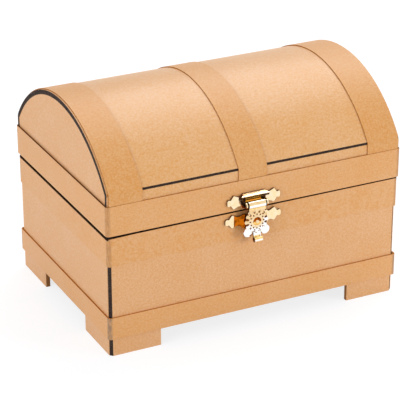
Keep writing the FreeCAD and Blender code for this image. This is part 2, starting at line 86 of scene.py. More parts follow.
# The strips round the box: body, what they lie on, how rubbed their bends are, and the tone of that
BANDS = {
    "base_rim_band": ("base", "base_front_facing", 0.85, "rubbed"),
    "base_plinth_band": ("base", "base_front_facing", 0.95, "scuff"),
    "lid_rim_band": ("lid", "lid_front_flange_facing", 0.8, "rubbed"),
}

# Half of a clasp plate's outline: shares of its half length and half height, from its shoulder to its tip
FINIAL_SHARES = (
    (0.42, 1.0), (0.5, 0.68), (0.6, 0.66), (0.765, 0.95), (0.87, 0.38), (0.955, 0.46), (1.0, 0.3),
)
# The bend from the hasp's neck up to its knuckle: shares of the roll's radius, from the pin
NECK_SHARES = ((0.0, -2.2), (-0.71, -1.8), (-0.76, -1.28), (-0.59, -0.81))
# The knuckle's finishes: where its back starts, as a share of the roll, and the tilts that part its painted
# reflection, plain gilt and painted highlight
KNUCKLE_BACK_SHARE = 0.45
GLEAM_TILT, PLAIN_TILT, PALE_TILT = 0.24, 0.42, 0.88
# The lip, in shares of its roll: where the tongue widens, the curl's front and the floor of its hollow
TONGUE_FOOT_SHARE, LIP_FRONT_SHARE, LIP_FLOOR_SHARE = 0.98, 0.5, 0.2
# Tilts between which the lip's faces get the painted highlight
LIP_PALE_TILTS = (-0.15, 0.35)
# A lobe's faces turned less than this to the front get painted amber shade, the rest a painted highlight; an
# ear's faces turned down past the next get painted amber shade
LOBE_FACE_TILT = 0.65
EAR_UNDER_TILT = 0.2
# Where a hinge knuckle's roll starts above its axis, as a share of the roll
BARREL_START_SHARE = 0.35

# The rosette's section: shares of its radius, and heights as shares of the dome's height
ROSETTE_SHARES = (
    (0.0, 1.0), (0.06, 0.97), (0.115, 0.84), (0.15, 0.55), (0.17, 0.22),
    (0.21, 0.12), (0.26, 0.12), (0.3, 0.3), (0.335, 0.52), (0.37, 0.54),
    (0.42, 0.44), (0.49, 0.38), (0.61, 0.42), (0.68, 0.42), (0.75, 0.4),
    (0.88, 0.36), (0.92, 0.3), (0.955, 0.22), (0.985, 0.12), (1.0, 0.0),
)
# Stretches of that section, counted from the middle, and how far past a ring's start its faces' middles lie
CUP_RINGS = (4, 5, 6, 7)
INNER_PIT_RING = 11
OUTER_PIT_RING = 14
PETAL_RINGS = (12, 13, 14, 15, 16)
VALLEY_RINGS = (13, 15, 16, 17, 18)
RING_SLACK = 1.02
# Where the petals start, as a share of the radius, how deep their valleys are and how soon they get there
PETAL_START_SHARE = 0.36
VALLEY_SHARE = 0.5
VALLEY_HASTE = 3
# Slopes of the lines that part the cup's painted amber shade from its painted gleam, and the petals' gilt
# from their painted highlight
CUP_SLOPE = -0.3
PETAL_SLOPE = 0.35

# Parts of a pattern's range that show, from its first trace to its full strength
BROAD_BAND = (0.3, 0.7)
GRAIN_BAND, SPECK_BAND, STREAK_BAND = (0.25, 0.75), (0.72, 0.8), (0.35, 0.65)
EDGE_BAND, CORE_BAND, WAVE_BAND, STAIN_BAND = (0.3, 0.75), (0.42, 0.8), (0.4, 0.6), (0.5, 0.9)
# How far each pattern carries the paper's tone, where 0 is its deepest and 1 its palest
CLOUD_TONES, GRAIN_TONES, FIBRE_TONES = (-0.16, 0.16), (-0.45, 1.45), (-0.2, 0.2)
SPECK_SHARE = 0.35
LEAST_WEAR_SHARE = 0.25
# Roughness of each finish, and the strength of its relief
ROUGH_SPREAD = 0.08
EDGE_ROUGH, CORE_ROUGH, GILT_ROUGH, RECESS_ROUGH = 0.8, (0.75, 0.95), (0.1, 0.22), 0.4
RECESS_METAL = 0.8
KRAFT_RELIEF, EDGE_RELIEF, CORE_RELIEF, GILT_RELIEF = 0.35, 0.4, 0.6, 0.3


# Settings

def length(name, description, millimetres):
    """A size, given in millimetres."""
    return FloatProperty(name=name, description=description, default=millimetres * MM, unit="LENGTH",
                         precision=5)


def place(name, description, *millimetres):
    """A point, given in millimetres."""
    return FloatVectorProperty(name=name, description=description, size=3, subtype="TRANSLATION",
                               unit="LENGTH", default=[part * MM for part in millimetres])


def angle(name, description, degrees):
    """An angle, given in degrees."""
    return FloatProperty(name=name, description=description, default=math.radians(degrees), subtype="ANGLE")


def count(name, description, number):
    """A whole number."""
    return IntProperty(name=name, description=description, default=number, min=1)


def share(name, description, number):
    """A factor."""
    return FloatProperty(name=name, description=description, default=number, subtype="FACTOR", precision=3)


def colour(name, description, *parts):
    """A colour: red, green and blue in linear light."""
    return FloatVectorProperty(name=name, description=description, size=3, subtype="COLOR", default=parts,
                               min=0.0, max=1.0)


def power(name, description, watts):
    """A lamp's power."""
    return FloatProperty(name=name, description=description, default=watts, unit="POWER")


def optics(name, description, millimetres):
    """A size inside the camera, kept in millimetres."""
    return FloatProperty(name=name, description=description, default=millimetres, subtype="DISTANCE_CAMERA")


class PaperSettings(bpy.types.PropertyGroup):
    """Sizes and colours of the paper and board."""
    facing_pale: colour("Facing, pale", "Palest tone of the kraft facings", 0.73, 0.435, 0.235)
    facing_tawny: colour("Facing, tawny", "Deepest tone of the kraft facings", 0.69, 0.335, 0.115)
    vault_pale: colour("Vault, pale", "Palest tone of the kraft over the vault", 0.73, 0.432, 0.215)
    vault_tawny: colour("Vault, tawny", "Deepest tone of the kraft over the vault", 0.69, 0.333, 0.1)
    strip_pale: colour("Strip, pale", "Palest tone of the kraft strips", 0.715, 0.4, 0.187)
    strip_tawny: colour("Strip, tawny", "Deepest tone of the kraft strips", 0.68, 0.315, 0.09)
    strap_pale: colour("Strap, pale", "Palest tone of the straps", 0.688, 0.372, 0.154)
    strap_tawny: colour("Strap, tawny", "Deepest tone of the straps", 0.645, 0.288, 0.071)
    speck: colour("Speck", "Dark fibres in the paper", 0.3, 0.13, 0.05)
    cut_edge: colour("Cut edge", "Browned edges of the strips", 0.26, 0.09, 0.02)
    rubbed: colour("Rubbed crease", "Brown of a strip's rubbed bends", 0.36, 0.165, 0.06)
    scuff: colour("Scuffed crease", "Grey brown of the plinth's scuffed bends", 0.2, 0.14, 0.1)
    # Painted shade: the dark seam gap at the box's ends, over the board's bare edge
    seam_shade: colour("Shut edge", "Dark edges on both sides of the seam", 0.05, 0.026, 0.015)
    # Painted shade: the lid strip's top edge at its ends, in the ledge against the gables
    shaded_ledge: colour("Dark ledge", "Top edge of the lid's strip at its ends", 0.14, 0.042, 0.008)
    warm_ledge: colour("Warm ledge", "Top edge of the plinth's strip", 0.5, 0.19, 0.045)
    burnt: colour("Burnt edge", "Browned board in the notches between the feet", 0.37, 0.155, 0.05)
    core: colour("Core", "Dark board under the paper", 0.023, 0.0145, 0.0125)
    core_fibre: colour("Core fibre", "Pale fibres in the dark board", 0.107, 0.078, 0.066)
    rough: share("Roughness", "Roughness of the kraft where it is smoothest", 0.42)
    vault_rough: share("Vault roughness", "Roughness of the vault's kraft where it is smoothest", 0.33)
    sheen: share("Sheen", "Shine of the kraft", 0.5)
    edge_sheen: share("Edge sheen", "Shine of the strips' cut edges", 0.1)
    core_sheen: share("Core sheen", "Shine of the dark board", 0.15)
    cloud_size: length("Cloud size", "Width of the paper's soft blotches", 14.0)
    grain_size: length("Grain size", "Width of the paper's grain", 0.65)
    fibre_size: length("Fibre size", "Thickness of the paper's fibres", 0.22)
    speck_size: length("Speck size", "Width of the dark fibres", 0.52)
    streak_size: length("Streak size", "Width of the streaks in a rubbed crease", 0.352)
    core_fibre_size: length("Core fibre size", "Thickness of the board's fibres", 0.308)
    lump_size: length("Lump size", "Width of the board's lumps", 0.975)
    grain_height: length("Grain height", "Height of the paper's grain", 0.03)
    edge_height: length("Edge height", "Height of the cut edges' fibres", 0.05)
    core_height: length("Core height", "Height of the board's fibres", 0.08)
    edge_round: length("Edge round", "Softening of the strips' cut edges", 0.05)
    overlap: length("Overlap", "How far a finish runs past the edge that it ends at", 0.02)
    strip_corner: length("Strip corner", "Outside bend of a strip round the box", 1.1)
    crease_reach: length("Crease reach", "How far a rubbed crease spreads from a corner", 1.6)
    corner_zone: length("Corner zone", "How far the feet's corners stay dark", 5.0)
    # The next two bound the painted seam shade at the box's ends; the first also bounds the lid strip's
    # painted ledge shade and the plinth's top-edge line
    bare_reach: length("Bare reach", "How far in from the ends the seam's edges are bare", 0.5)
    seam_shade_height: length("Bare edge", "Height of the bare edge below the seam at the ends", 0.48)
    # Painted shade: the soft shadow on the lid's ends above the rim strip's ledge, how strong and how far up
    ledge_shade: share("Stain", "How brown the lid's ends are along the rim strip's ledge", 0.55)
    ledge_shade_reach: length("Stain reach", "How far up the lid's ends that brown fades", 1.3)
    seam_rise: length("Seam rise", "How much the base's rim strip climbs to the right", 0.25)
    seam_lift: length("Seam lift", "How much the base's rim strip climbs by its left corner", 0.22)
    seam_bend: length("Seam bend", "Length of that climb by the left corner", 9.0)
    joint_gap: length("Strip joint", "Gap where a strip's ends meet at the back", 0.25)
    joint_place: length("Joint place", "Where the strips' ends meet, left of the middle", 9.0)
    arc_steps: count("Arc steps", "Divisions of the vault's curve", 96)
    corner_steps: count("Corner steps", "Divisions of a strip's bend", 8)


class GiltSettings(bpy.types.PropertyGroup):
    """Sizes and colours of the clasp and hinges."""
    gold: colour("Gilt", "Polished face of the gilt metal", 0.96, 0.79, 0.54)
    deep_gold: colour("Deep gilt", "Thin places in the gilding", 0.95, 0.74, 0.43)
    # Painted highlight that comes in down the hasp's lower part
    hasp_highlight: colour("Pale gilt", "Bright lower part of the hasp", 0.96, 0.82, 0.6)
    hasp_gold: colour("Hasp gilt", "Upper part of the hasp", 0.92, 0.7, 0.43)
    hasp_deep: colour("Hasp deep gilt", "Thin places in the hasp's gilding", 0.84, 0.58, 0.28)
    # Painted highlight: the louvre's pale streak
    louvre_highlight: colour("Bright gilt", "Pale streak of the louvre", 0.95, 0.88, 0.75)
    # Painted highlight on the hasp's petals, lobes, tongue and knuckle
    highlight_gold: colour("White gilt", "Gilt of the hasp's petals, lobes, tongue and knuckle", 1.0, 0.985, 0.96)
    pit: colour("Pit", "Browned pits between the rosette's petals", 0.14, 0.055, 0.01)
    # Painted reflection: the gleam between the louvre and the knuckle, on the knuckle's back, the lip and in
    # the rosette's cup
    gleam: colour("Gleam", "Gilt between the louvre and the knuckle", 1.0, 0.78, 0.36)
    deep_gleam: colour("Deep gleam", "Deepest gilt between the louvre and the knuckle", 0.97, 0.62, 0.2)
    # Painted amber reflection and shade: slopes, creases, curls, lobe edges and the rosette's cup; the amber
    # also spots the dark metal
    amber: colour("Amber gilt", "Thick lacquer on slopes and in the rosette's cup", 0.56, 0.14, 0.004)
    dark_amber: colour("Dark amber gilt", "Deepest places in the lacquer", 0.22, 0.045, 0.001)
    # Painted shade on the clasp's cut edges and on the hasp's pin
    rim: colour("Rim", "Dark cut edges of the clasp's sheets, and its pin", 0.12, 0.045, 0.01)
    # Painted shade: the dark hollow behind the knuckle and the upper left sides of the ears
    recess: colour("Recess", "Darkened hollow behind the knuckle", 0.03, 0.012, 0.004)
    wave_size: length("Wave size", "Width of the metal's faint waves", 1.4)
    wave_height: length("Wave height", "Height of the metal's faint waves", 0.12)
    smear_size: length("Smear size", "Width of the metal's smears", 0.5)
    tarnish_and_shade_size: length("Tarnish size", "Width of the spots in darkened metal", 0.4)
    # Where the hasp's painted highlight starts and where it is full
    fade_top: share("Fade top", "Part of the hasp's height at which it starts to pale", 0.6)
    fade_bottom: share("Fade bottom", "Part of the hasp's height at which it is palest", 0.32)
    edge_round: length("Edge round", "Softening of the stamped edges", 0.1)
    sheet: length("Sheet", "Thickness of the clasp's plates", 0.7)
    leaf_sheet: length("Leaf sheet", "Thickness of the hinge leaves", 0.5)
    louvre_sheet: length("Louvre sheet", "Thickness of the louvre", 0.4)
    hasp_sheet: length("Hasp sheet", "Thickness of the hasp", 0.6)
    corner: length("Corner", "Rounding of the plates' outline", 0.1)
    prong_width: length("Prong width", "Width of a prong", 1.6)
    prong_thick: length("Prong thickness", "Thickness of a prong", 0.4)
    prong_tab: length("Prong tab", "Length of the tab bent flat inside", 2.3)
    plate_prong_pitch: length("Plate prong pitch", "Distance between a clasp plate's prongs", 14.4)
    leaf_prong_pitch: length("Leaf prong pitch", "Distance between a hinge leaf's prongs", 7.0)
    leaf_prong_drop: length("Leaf prong drop", "From a hinge's axis to its prongs", 4.2)
    leaf_height: length("Leaf height", "From a hinge's axis to the end of its leaf", 7.0)
    leaf_corner: length("Leaf corner", "Rounding of a leaf's outer corners", 1.2)
    barrel_radius: length("Barrel radius", "Outside of the hinge knuckles", 1.1)
    barrel_turn: angle("Barrel turn", "How far a hinge knuckle is rolled", 285)
    knuckle_gap: length("Knuckle gap", "Gap between neighbouring knuckles", 0.3)
    louvre_half: length("Louvre half width", "Half the width of the raised louvre at its lip", 5.25)
    louvre_top: length("Louvre top", "Half the width of the louvre at the plate's top", 3.88)
    louvre_drop: length("Louvre drop", "Height of the louvre below the plate's top", 0.95)
    louvre_rise: length("Louvre rise", "From the lid's face out to the louvre's lip", 2.05)
    # Where the louvre's painted highlight starts
    louvre_streak: share("Louvre streak", "Part of the louvre above its pale streak", 0.6)
    window_half: length("Window half width", "Half the width of the hollow behind the knuckle", 4.3)
    hollow_drop: length("Hollow drop", "From the plate's top down to where the hollow narrows", 2.1)
    gleam_rise: length("Gleam rise", "From the pin up to the end of the gleam in the hollow", 1.74)
    shade_drop: length("Shade drop", "From the pin down to the amber part of the plate", 0.4)
    ear_inner: length("Ear inside", "From the pin's middle to the inside of an ear", 3.5)
    ear_thick: length("Ear thickness", "Thickness of the ears that hold the pin", 0.55)
    ear_radius: length("Ear radius", "Rounding of an ear about the pin", 1.15)
    saddle_half: length("Saddle half width", "Half the width of the catch's raised middle", 3.0)
    saddle_slope: length("Saddle slope", "Length of the catch's slope on each side", 4.1)
    knuckle_radius: length("Knuckle radius", "Outside of the hasp's rolled knuckle", 1.35)
    knuckle_turn: angle("Knuckle turn", "How far the hasp's knuckle is rolled", 300)
    hasp_drop: length("Hasp drop", "From the pin to the rosette's middle", 5.9)
    hasp_half: length("Hasp half width", "Half the width of the hasp's knuckle and neck", 3.05)
    rosette_radius: length("Rosette radius", "Outside of the rosette's petals", 4.45)
    dome_height: length("Dome height", "Height of the rosette's middle above the sheet", 1.2)
    petal_cut: length("Petal cut", "Depth of the scallops between petals", 0.5)
    pit_depth: length("Pit depth", "Depth of the pits between petals", 0.3)
    lobe_spread: length("Lobe spread", "From the middle to a lower lobe", 3.12)
    lobe_drop: length("Lobe drop", "From the rosette's middle down to a lower lobe", 3.8)
    lobe_radius: length("Lobe radius", "Radius of a lower lobe", 1.75)
    tongue_half: length("Tongue half width", "Half the width of the tongue", 1.35)
    lean: length("Lean", "How far to the right the lip hangs", 0.4)
    lip_half: length("Lip half width", "Half the width of the curled lip", 1.45)
    lip_radius: length("Lip radius", "Outside of the curled lip", 0.95)
    lip_turn: angle("Lip turn", "How far the lip is curled", 250)
    petals: count("Petals", "Number of petals", 12)
    petal_steps: count("Petal steps", "Divisions of each petal", 6)
    round_steps: count("Round steps", "Divisions of the ears, the lobes and the hasp's knuckle", 32)
    pin_steps: count("Pin steps", "Divisions of the pins and the lip's curl", 24)
    barrel_steps: count("Barrel steps", "Divisions of a hinge knuckle", 28)
    saddle_steps: count("Saddle steps", "Divisions of the catch's slopes", 8)
    corner_steps: count("Corner steps", "Divisions of a corner of the plates' outline", 3)
    leaf_steps: count("Leaf steps", "Divisions of a leaf's outer corner", 6)
    smooth_levels: count("Smooth levels", "How often the rosette's faces are divided", 2)


class StageSettings(bpy.types.PropertyGroup):
    """The camera's place and the levels of the light."""
    aim: place("Aim", "Point that the camera looks at", -1.37, -3.765, 28.88)
    yaw: angle("Yaw", "Camera's turn to the left of the front", 26.47)
    pitch: angle("Pitch", "Camera's height above level", 24.84)
    distance: length("Distance", "From the aim to the camera", 662.3)
    lens: optics("Lens", "Focal length", 166.6)
    sensor: optics("Sensor", "Width of the camera's sensor", 36.0)
    nearest: length("Nearest", "Nearest distance that the camera sees", 10.0)
    floor_half: length("Floor half width", "Half the width of the floor", 3000.0)
    floor_tone: share("Floor tone", "Share of light that the floor scatters", 0.85)
    floor_glow: share("Floor glow", "Part of the floor's white that shadows don't touch", 0.8)
    floor_shade: colour("Floor shade", "Part of the floor's white that shadows take", 0.275, 0.282, 0.3)
    ambient: share("Ambient", "Level of the even light", 0.45)
    key_power: power("Key power", "Soft light from the right", 3.45)
    key_size: length("Key size", "Width of the right light", 300.0)
    key_place: place("Key place", "Where the right light hangs", 620.0, -680.0, 220.0)
    fill_power: power("Fill power", "Soft light from the left", 3.6)
    fill_size: length("Fill size", "Width of the left light", 600.0)
    fill_place: place("Fill place", "Where the left light hangs", -800.0, -300.0, 300.0)
    top_power: power("Top power", "Soft light overhead", 3.57)
    top_size: length("Top size", "Width of the overhead light", 600.0)
    top_place: place("Top place", "Where the overhead light hangs", 330.0, 330.0, 690.0)


# Finishes

class Wiring:
    """A node tree that is being wired up."""

    def __init__(self, tree):
        self.tree = tree

    def feed(self, socket, entry):
        """Links a socket to the output of another node, or sets its value."""
        if isinstance(entry, bpy.types.NodeSocket):
            self.tree.links.new(entry, socket)
        elif socket.type == "RGBA":
            socket.default_value = (*entry, 1.0)
        else:
            socket.default_value = entry

    def node(self, kind, inputs=None, output=0, **choices):
        """Adds a node, feeds its inputs and returns one of its outputs."""
        node = self.tree.nodes.new(kind)
        for key, choice in choices.items():
            setattr(node, key, choice)
        for key, entry in (inputs or {}).items():
            self.feed(node.inputs[key], entry)
        return node.outputs[output]

    def sum(self, operation, first, second):
        """Joins two values with a sum."""
        return self.node("ShaderNodeMath", {0: first, 1: second}, operation=operation)

    def remap(self, entry, low, high, to_low=0.0, to_high=1.0):
        """Stretches a value's range, clamped."""
        return self.node("ShaderNodeMapRange", {"Value": entry, "From Min": low, "From Max": high,
                                                "To Min": to_low, "To Max": to_high})

    def seen(self):
        """1 for rays that show a surface as it looks: camera, glossy and transmission rays."""
        path = self.tree.nodes.new("ShaderNodeLightPath").outputs
        total = path["Is Camera Ray"]
        for name in ("Is Glossy Ray", "Is Transmission Ray"):
            total = self.sum("MAXIMUM", total, path[name])
        return total


class Finish(Wiring):
    """A procedural material. Its patterns lie in the piece's own coordinates."""

    def __init__(self, name):
        self.material = bpy.data.materials.new(name)
        self.material.use_nodes = True
        super().__init__(self.material.node_tree)
        self.shader = self.tree.nodes["Principled BSDF"]
        self.spot = self.node("ShaderNodeTexCoord", output="Object")

    def noise(self, size, stretch=(1.0, 1.0, 1.0), detail=3.0, roughness=0.6):
        """Noise whose features are about this size, longer along an axis by its stretch."""
        scale = [1.0 / (size * longer) for longer in stretch]
        mapped = self.node("ShaderNodeMapping", {"Vector": self.spot, "Scale": scale})
        return self.node("ShaderNodeTexNoise", {"Vector": mapped, "Scale": 1.0, "Detail": detail,
                                                "Roughness": roughness})

    def times(self, total, *factors):
        """Multiplies values."""
        for factor in factors:
            total = self.sum("MULTIPLY", total, factor)
        return total

    def mix(self, factor, first, second):
        """Mixes two colours."""
        return self.node("ShaderNodeMix", {0: factor, 6: first, 7: second}, 2, data_type="RGBA")

    def along(self, axis):
        """The place along an axis."""
        return self.node("ShaderNodeSeparateXYZ", {0: self.spot}, axis)

    def below(self, axis, level):
        """1 up to a place along an axis."""
        return self.sum("LESS_THAN", self.along(axis), level)

    def within(self, axis, low, high):
        """1 between two places along an axis."""
        return self.times(self.sum("GREATER_THAN", self.along(axis), low), self.below(axis, high))

    def outside(self, axis, low, high):
        """1 before and past two places along an axis."""
        return self.sum("SUBTRACT", 1.0, self.within(axis, low, high))

    def set(self, **entries):
        """Sets the shader's sockets, written with underscores for spaces."""
        for key, entry in entries.items():
            self.feed(self.shader.inputs[key.replace("_", " ")], entry)

    def bump(self, height, strength, distance):
        """Gives the surface relief."""
        self.set(Normal=self.node("ShaderNodeBump", {"Height": height, "Strength": strength,
                                                     "Distance": distance}))


def paint_seam_shade(finish, surface, sheen):
    """Paints shade into both sides of the seam at the box's ends, where the strips don't cover the board's
    dark edge, and takes the shine off there.
    """
    paper = bpy.context.scene.chest_paper
    low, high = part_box("base_rim_band")
    seam = finish.within(Z, high.z - paper.seam_shade_height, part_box("lid_rim_band")[0].z + paper.overlap)
    seam_shade_mask = finish.times(seam, finish.outside(X, low.x + paper.bare_reach, high.x - paper.bare_reach))
    finish.set(Specular_IOR_Level=finish.remap(seam_shade_mask, 0.0, 1.0, sheen, 0.0))
    return finish.mix(seam_shade_mask, surface, paper.seam_shade)


def paint_shade_above_ledge(finish, surface):
    """Paints shade, in the brown of a cut edge, on the lid's ends just above the ledge of its rim strip,
    where the strip stands proud.
    """
    paper = bpy.context.scene.chest_paper
    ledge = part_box("lid_rim_band")[1].z
    top = ledge + paper.ledge_shade_reach
    ends = finish.outside(X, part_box("lid_left_gable_facing")[1].x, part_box("lid_right_gable_facing")[0].x)
    fade = finish.remap(finish.along(Z), ledge, top, paper.ledge_shade, 0.0)
    ledge_shade = finish.times(ends, finish.within(Z, ledge - paper.edge_round, top), fade)
    return finish.mix(ledge_shade, surface, paper.cut_edge)


def rub_corners(finish, surface, node, wear, worn):
    """Rubs a strip's bends at the corners of the box, in streaks."""
    paper = bpy.context.scene.chest_paper
    low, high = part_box(node)
    streaks = finish.noise(paper.streak_size, stretch=(1.0, 1.0, 6.0), detail=4.0, roughness=0.7)
    rubbed = finish.remap(streaks, *STREAK_BAND, wear * LEAST_WEAR_SHARE, wear)
    for axis in (X, Y):
        half = (high[axis] - low[axis]) / 2
        offset = finish.sum("SUBTRACT", finish.along(axis), (high[axis] + low[axis]) / 2)
        near = finish.remap(finish.sum("ABSOLUTE", offset, 0.0), half - paper.crease_reach,
                            half - paper.crease_reach / 2)
        rubbed = finish.times(rubbed, near)
    return finish.mix(rubbed, surface, worn)


def kraft_finish(name, pale, tawny, rough, crease=None):
    """Kraft paper: soft blotches, grain, sparse dark specks and, on the strips, rubbed creases, with painted
    shade above the lid strip's ledge and in the seam's gap.
    """
    paper = bpy.context.scene.chest_paper
    finish = Finish(name)
    clouds = finish.noise(paper.cloud_size, detail=2.0)
    grain = finish.noise(paper.grain_size, roughness=0.65)
    fibres = finish.noise(paper.fibre_size, stretch=(7.0, 7.0, 1.0), detail=2.0)
    specks = finish.noise(paper.speck_size, stretch=(1.6, 1.6, 0.8), detail=1.0)
    tone = finish.sum("ADD", finish.remap(clouds, *BROAD_BAND, *CLOUD_TONES),
                      finish.remap(grain, *GRAIN_BAND, *GRAIN_TONES))
    tone = finish.sum("ADD", tone, finish.remap(fibres, *BROAD_BAND, *FIBRE_TONES))
    surface = finish.mix(tone, tawny, pale)
    surface = finish.mix(finish.remap(specks, *SPECK_BAND, 0.0, SPECK_SHARE), surface, paper.speck)
    if crease:
        surface = rub_corners(finish, surface, *crease)
    # Painted shade above the lid strip's ledge
    surface = paint_shade_above_ledge(finish, surface)
    # Pieces by the seam get its painted shade; the rest keep an even shine
    if name in AWAY_FROM_SEAM:
        finish.set(Specular_IOR_Level=paper.sheen)
    else:
        surface = paint_seam_shade(finish, surface, paper.sheen)
    finish.set(Base_Color=surface, Roughness=finish.remap(grain, *BROAD_BAND, rough, rough + ROUGH_SPREAD))
    finish.bump(finish.sum("ADD", grain, fibres), KRAFT_RELIEF, paper.grain_height)
    return finish.material


def edge_finish(name):
    """The browned cut edges of the strips, with painted shade on the lid strip's edges at its ends and by the
    seam, and a warm line along the plinth's top edge.
    """
    paper = bpy.context.scene.chest_paper
    finish = Finish(name)
    streaks = finish.noise(paper.fibre_size, stretch=(3.0, 3.0, 1.0), detail=4.0)
    surface = finish.mix(finish.remap(streaks, *EDGE_BAND), paper.cut_edge, paper.strip_tawny)
    # Painted shade on the lid strip's cut edges at its ends
    low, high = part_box("lid_rim_band")
    ledge = finish.times(finish.outside(X, low.x + paper.bare_reach, high.x - paper.bare_reach),
                         finish.within(Z, low.z, high.z + paper.bare_reach))
    surface = finish.mix(ledge, surface, paper.shaded_ledge)
    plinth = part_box("base_plinth_band")[1].z
    step = finish.within(Z, plinth - paper.bare_reach, plinth + paper.edge_round)
    surface = finish.mix(step, surface, paper.warm_ledge)
    # The cut edges by the seam get its painted shade too
    finish.set(Base_Color=paint_seam_shade(finish, surface, paper.edge_sheen), Roughness=EDGE_ROUGH)
    finish.bump(streaks, EDGE_RELIEF, paper.edge_height)
    return finish.material


def core_finish(name):
    """Dark fibrous board, browned between the feet, and papered along the left end of the score line."""
    paper = bpy.context.scene.chest_paper
    finish = Finish(name)
    fibres = finish.noise(paper.core_fibre_size, stretch=(4.0, 4.0, 1.0), detail=5.0, roughness=0.75)
    lumps = finish.noise(paper.lump_size)
    surface = finish.mix(finish.remap(fibres, *CORE_BAND), paper.core, paper.core_fibre)
    low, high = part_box("base_plinth_band")
    zone = paper.corner_zone
    corners = finish.times(*(finish.outside(axis, low[axis] + zone, high[axis] - zone) for axis in (X, Y)))
    notch = finish.times(finish.sum("SUBTRACT", 1.0, corners), finish.below(Z, low.z + paper.edge_round))
    surface = finish.mix(notch, surface, paper.burnt)
    flange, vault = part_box("lid_front_flange_facing"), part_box("lid_vault_facing")
    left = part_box("lid_vault_board")[0].x + paper.overlap
    score = finish.times(finish.within(Z, flange[1].z - paper.edge_round, vault[0].z + paper.edge_round),
                         finish.within(X, left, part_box("left_strap")[0].x))
    surface = finish.mix(score, surface, paper.facing_tawny)
    finish.set(Base_Color=surface, Roughness=finish.remap(lumps, *BROAD_BAND, *CORE_ROUGH),
               Specular_IOR_Level=paper.core_sheen)
    finish.bump(finish.sum("ADD", fibres, lumps), CORE_RELIEF, paper.core_height)
    return finish.material


def gilt_finish(name, light, deep, pale=None):
    """Polished gilt over stamped sheet, with faint waves and smears. Down the hasp a painted highlight comes
    in.
    """
    gilt = bpy.context.scene.chest_gilt
    finish = Finish(name)
    waves = finish.noise(gilt.wave_size, detail=2.0)
    smears = finish.noise(gilt.smear_size, stretch=(3.0, 1.0, 1.0), detail=4.0)
    surface = finish.mix(finish.remap(waves, *WAVE_BAND), deep, light)
    if pale is not None:
        low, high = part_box("hasp")
        top, bottom = (low.z + (high.z - low.z) * part for part in (gilt.fade_top, gilt.fade_bottom))
        surface = finish.mix(finish.remap(finish.along(Z), top, bottom), surface, pale)
    finish.set(Base_Color=surface, Metallic=1.0, Roughness=finish.remap(smears, *BROAD_BAND, *GILT_ROUGH))
    finish.bump(waves, GILT_RELIEF, gilt.wave_height)
    return finish.material


def recess_finish(name, dark):
    """Dark metal: browned pits, and painted shade in the hollow behind the knuckle, on cut edges and on the
    pin, spotted with amber.
    """
    gilt = bpy.context.scene.chest_gilt
    finish = Finish(name)
    tarnish_and_shade = finish.noise(gilt.tarnish_and_shade_size)
    surface = finish.mix(finish.remap(tarnish_and_shade, *STAIN_BAND), dark, gilt.amber)
    finish.set(Base_Color=surface, Metallic=RECESS_METAL, Roughness=RECESS_ROUGH)
    return finish.material


# Each finish: its maker, and the settings that the maker takes
FINISHES = {
    "kraft_facing": (kraft_finish, "facing_pale", "facing_tawny", "rough"),
    "kraft_vault": (kraft_finish, "vault_pale", "vault_tawny", "vault_rough"),
    "kraft_strap": (kraft_finish, "strap_pale", "strap_tawny", "rough"),
    "kraft_cut_edge": (edge_finish,),
    "dark_core_board": (core_finish,),
    "gilt_sheet": (gilt_finish, "gold", "deep_gold"),
    "gilt_hasp_sheet": (gilt_finish, "hasp_gold", "hasp_deep", "hasp_highlight"),
    "gilt_amber": (gilt_finish, "amber", "dark_amber"),
    "gilt_gleam": (gilt_finish, "gleam", "deep_gleam"),
    "gilt_pale": (gilt_finish, "louvre_highlight", "gold"),
    "gilt_white": (gilt_finish, "highlight_gold", "highlight_gold"),
    "gilt_pit": (recess_finish, "pit"),
    "gilt_rim": (recess_finish, "rim"),
    "gilt_recess": (recess_finish, "recess"),
}
MATERIALS = {}


def finish_named(name):
    """A finish's material, made the first time that it is asked for."""
    if name not in MATERIALS:
        scene = bpy.context.scene
        settings = scene.chest_gilt if name.startswith("gilt") else scene.chest_paper
        maker, *keys = FINISHES[name]
        MATERIALS[name] = maker(name, *(getattr(settings, key) for key in keys))
    return MATERIALS[name]


# Shapes

def centre(node):
    """The middle of a node's box."""
    low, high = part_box(node)
    return (low + high) / 2


def add_box(bm, low, high):
    """Adds a box between two corners."""
    low, high = Vector(low), Vector(high)
    matrix = Matrix.Translation((low + high) / 2) @ Matrix.Diagonal((high - low).to_4d())
    bmesh.ops.create_cube(bm, size=1.0, matrix=matrix)


def add_rod(bm, middle, radius, reach, steps):
    """Adds a round rod along X."""
    turn = Matrix.Translation(middle) @ Matrix.Rotation(math.pi / 2, 4, "Y")
    bmesh.ops.create_cone(bm, cap_ends=True, segments=steps, radius1=radius, radius2=radius, depth=reach,
                          matrix=turn)


def extend(bm, end, point):
    """Carries a line of edges on to a point, and returns its new end."""
    new_end = bmesh.ops.extrude_vert_indiv(bm, verts=[end])["verts"][0]
    new_end.co = point
    return new_end


def draw_line(bm, places):
    """Draws a line of edges from place to place, and returns its points."""
    points = [bm.verts.new(places[0])]
    for spot in places[1:]:
        points.append(extend(bm, points[-1], spot))
    return points


def swing(bm, end, middle, turn, steps):
    """Carries a line of edges on along an arc about an axis along X, and returns its new end."""
    made = bmesh.ops.spin(bm, geom=[end], cent=middle, axis=AXES[X], angle=turn, steps=steps)
    return next(item for item in made["geom_last"] if isinstance(item, bmesh.types.BMVert))


def sweep(bm, reach):
    """Sweeps every edge along X, which makes a sheet."""
    made = bmesh.ops.extrude_edge_only(bm, edges=list(bm.edges))
    points = [item for item in made["geom"] if isinstance(item, bmesh.types.BMVert)]
    bmesh.ops.translate(bm, verts=points, vec=(reach, 0, 0))


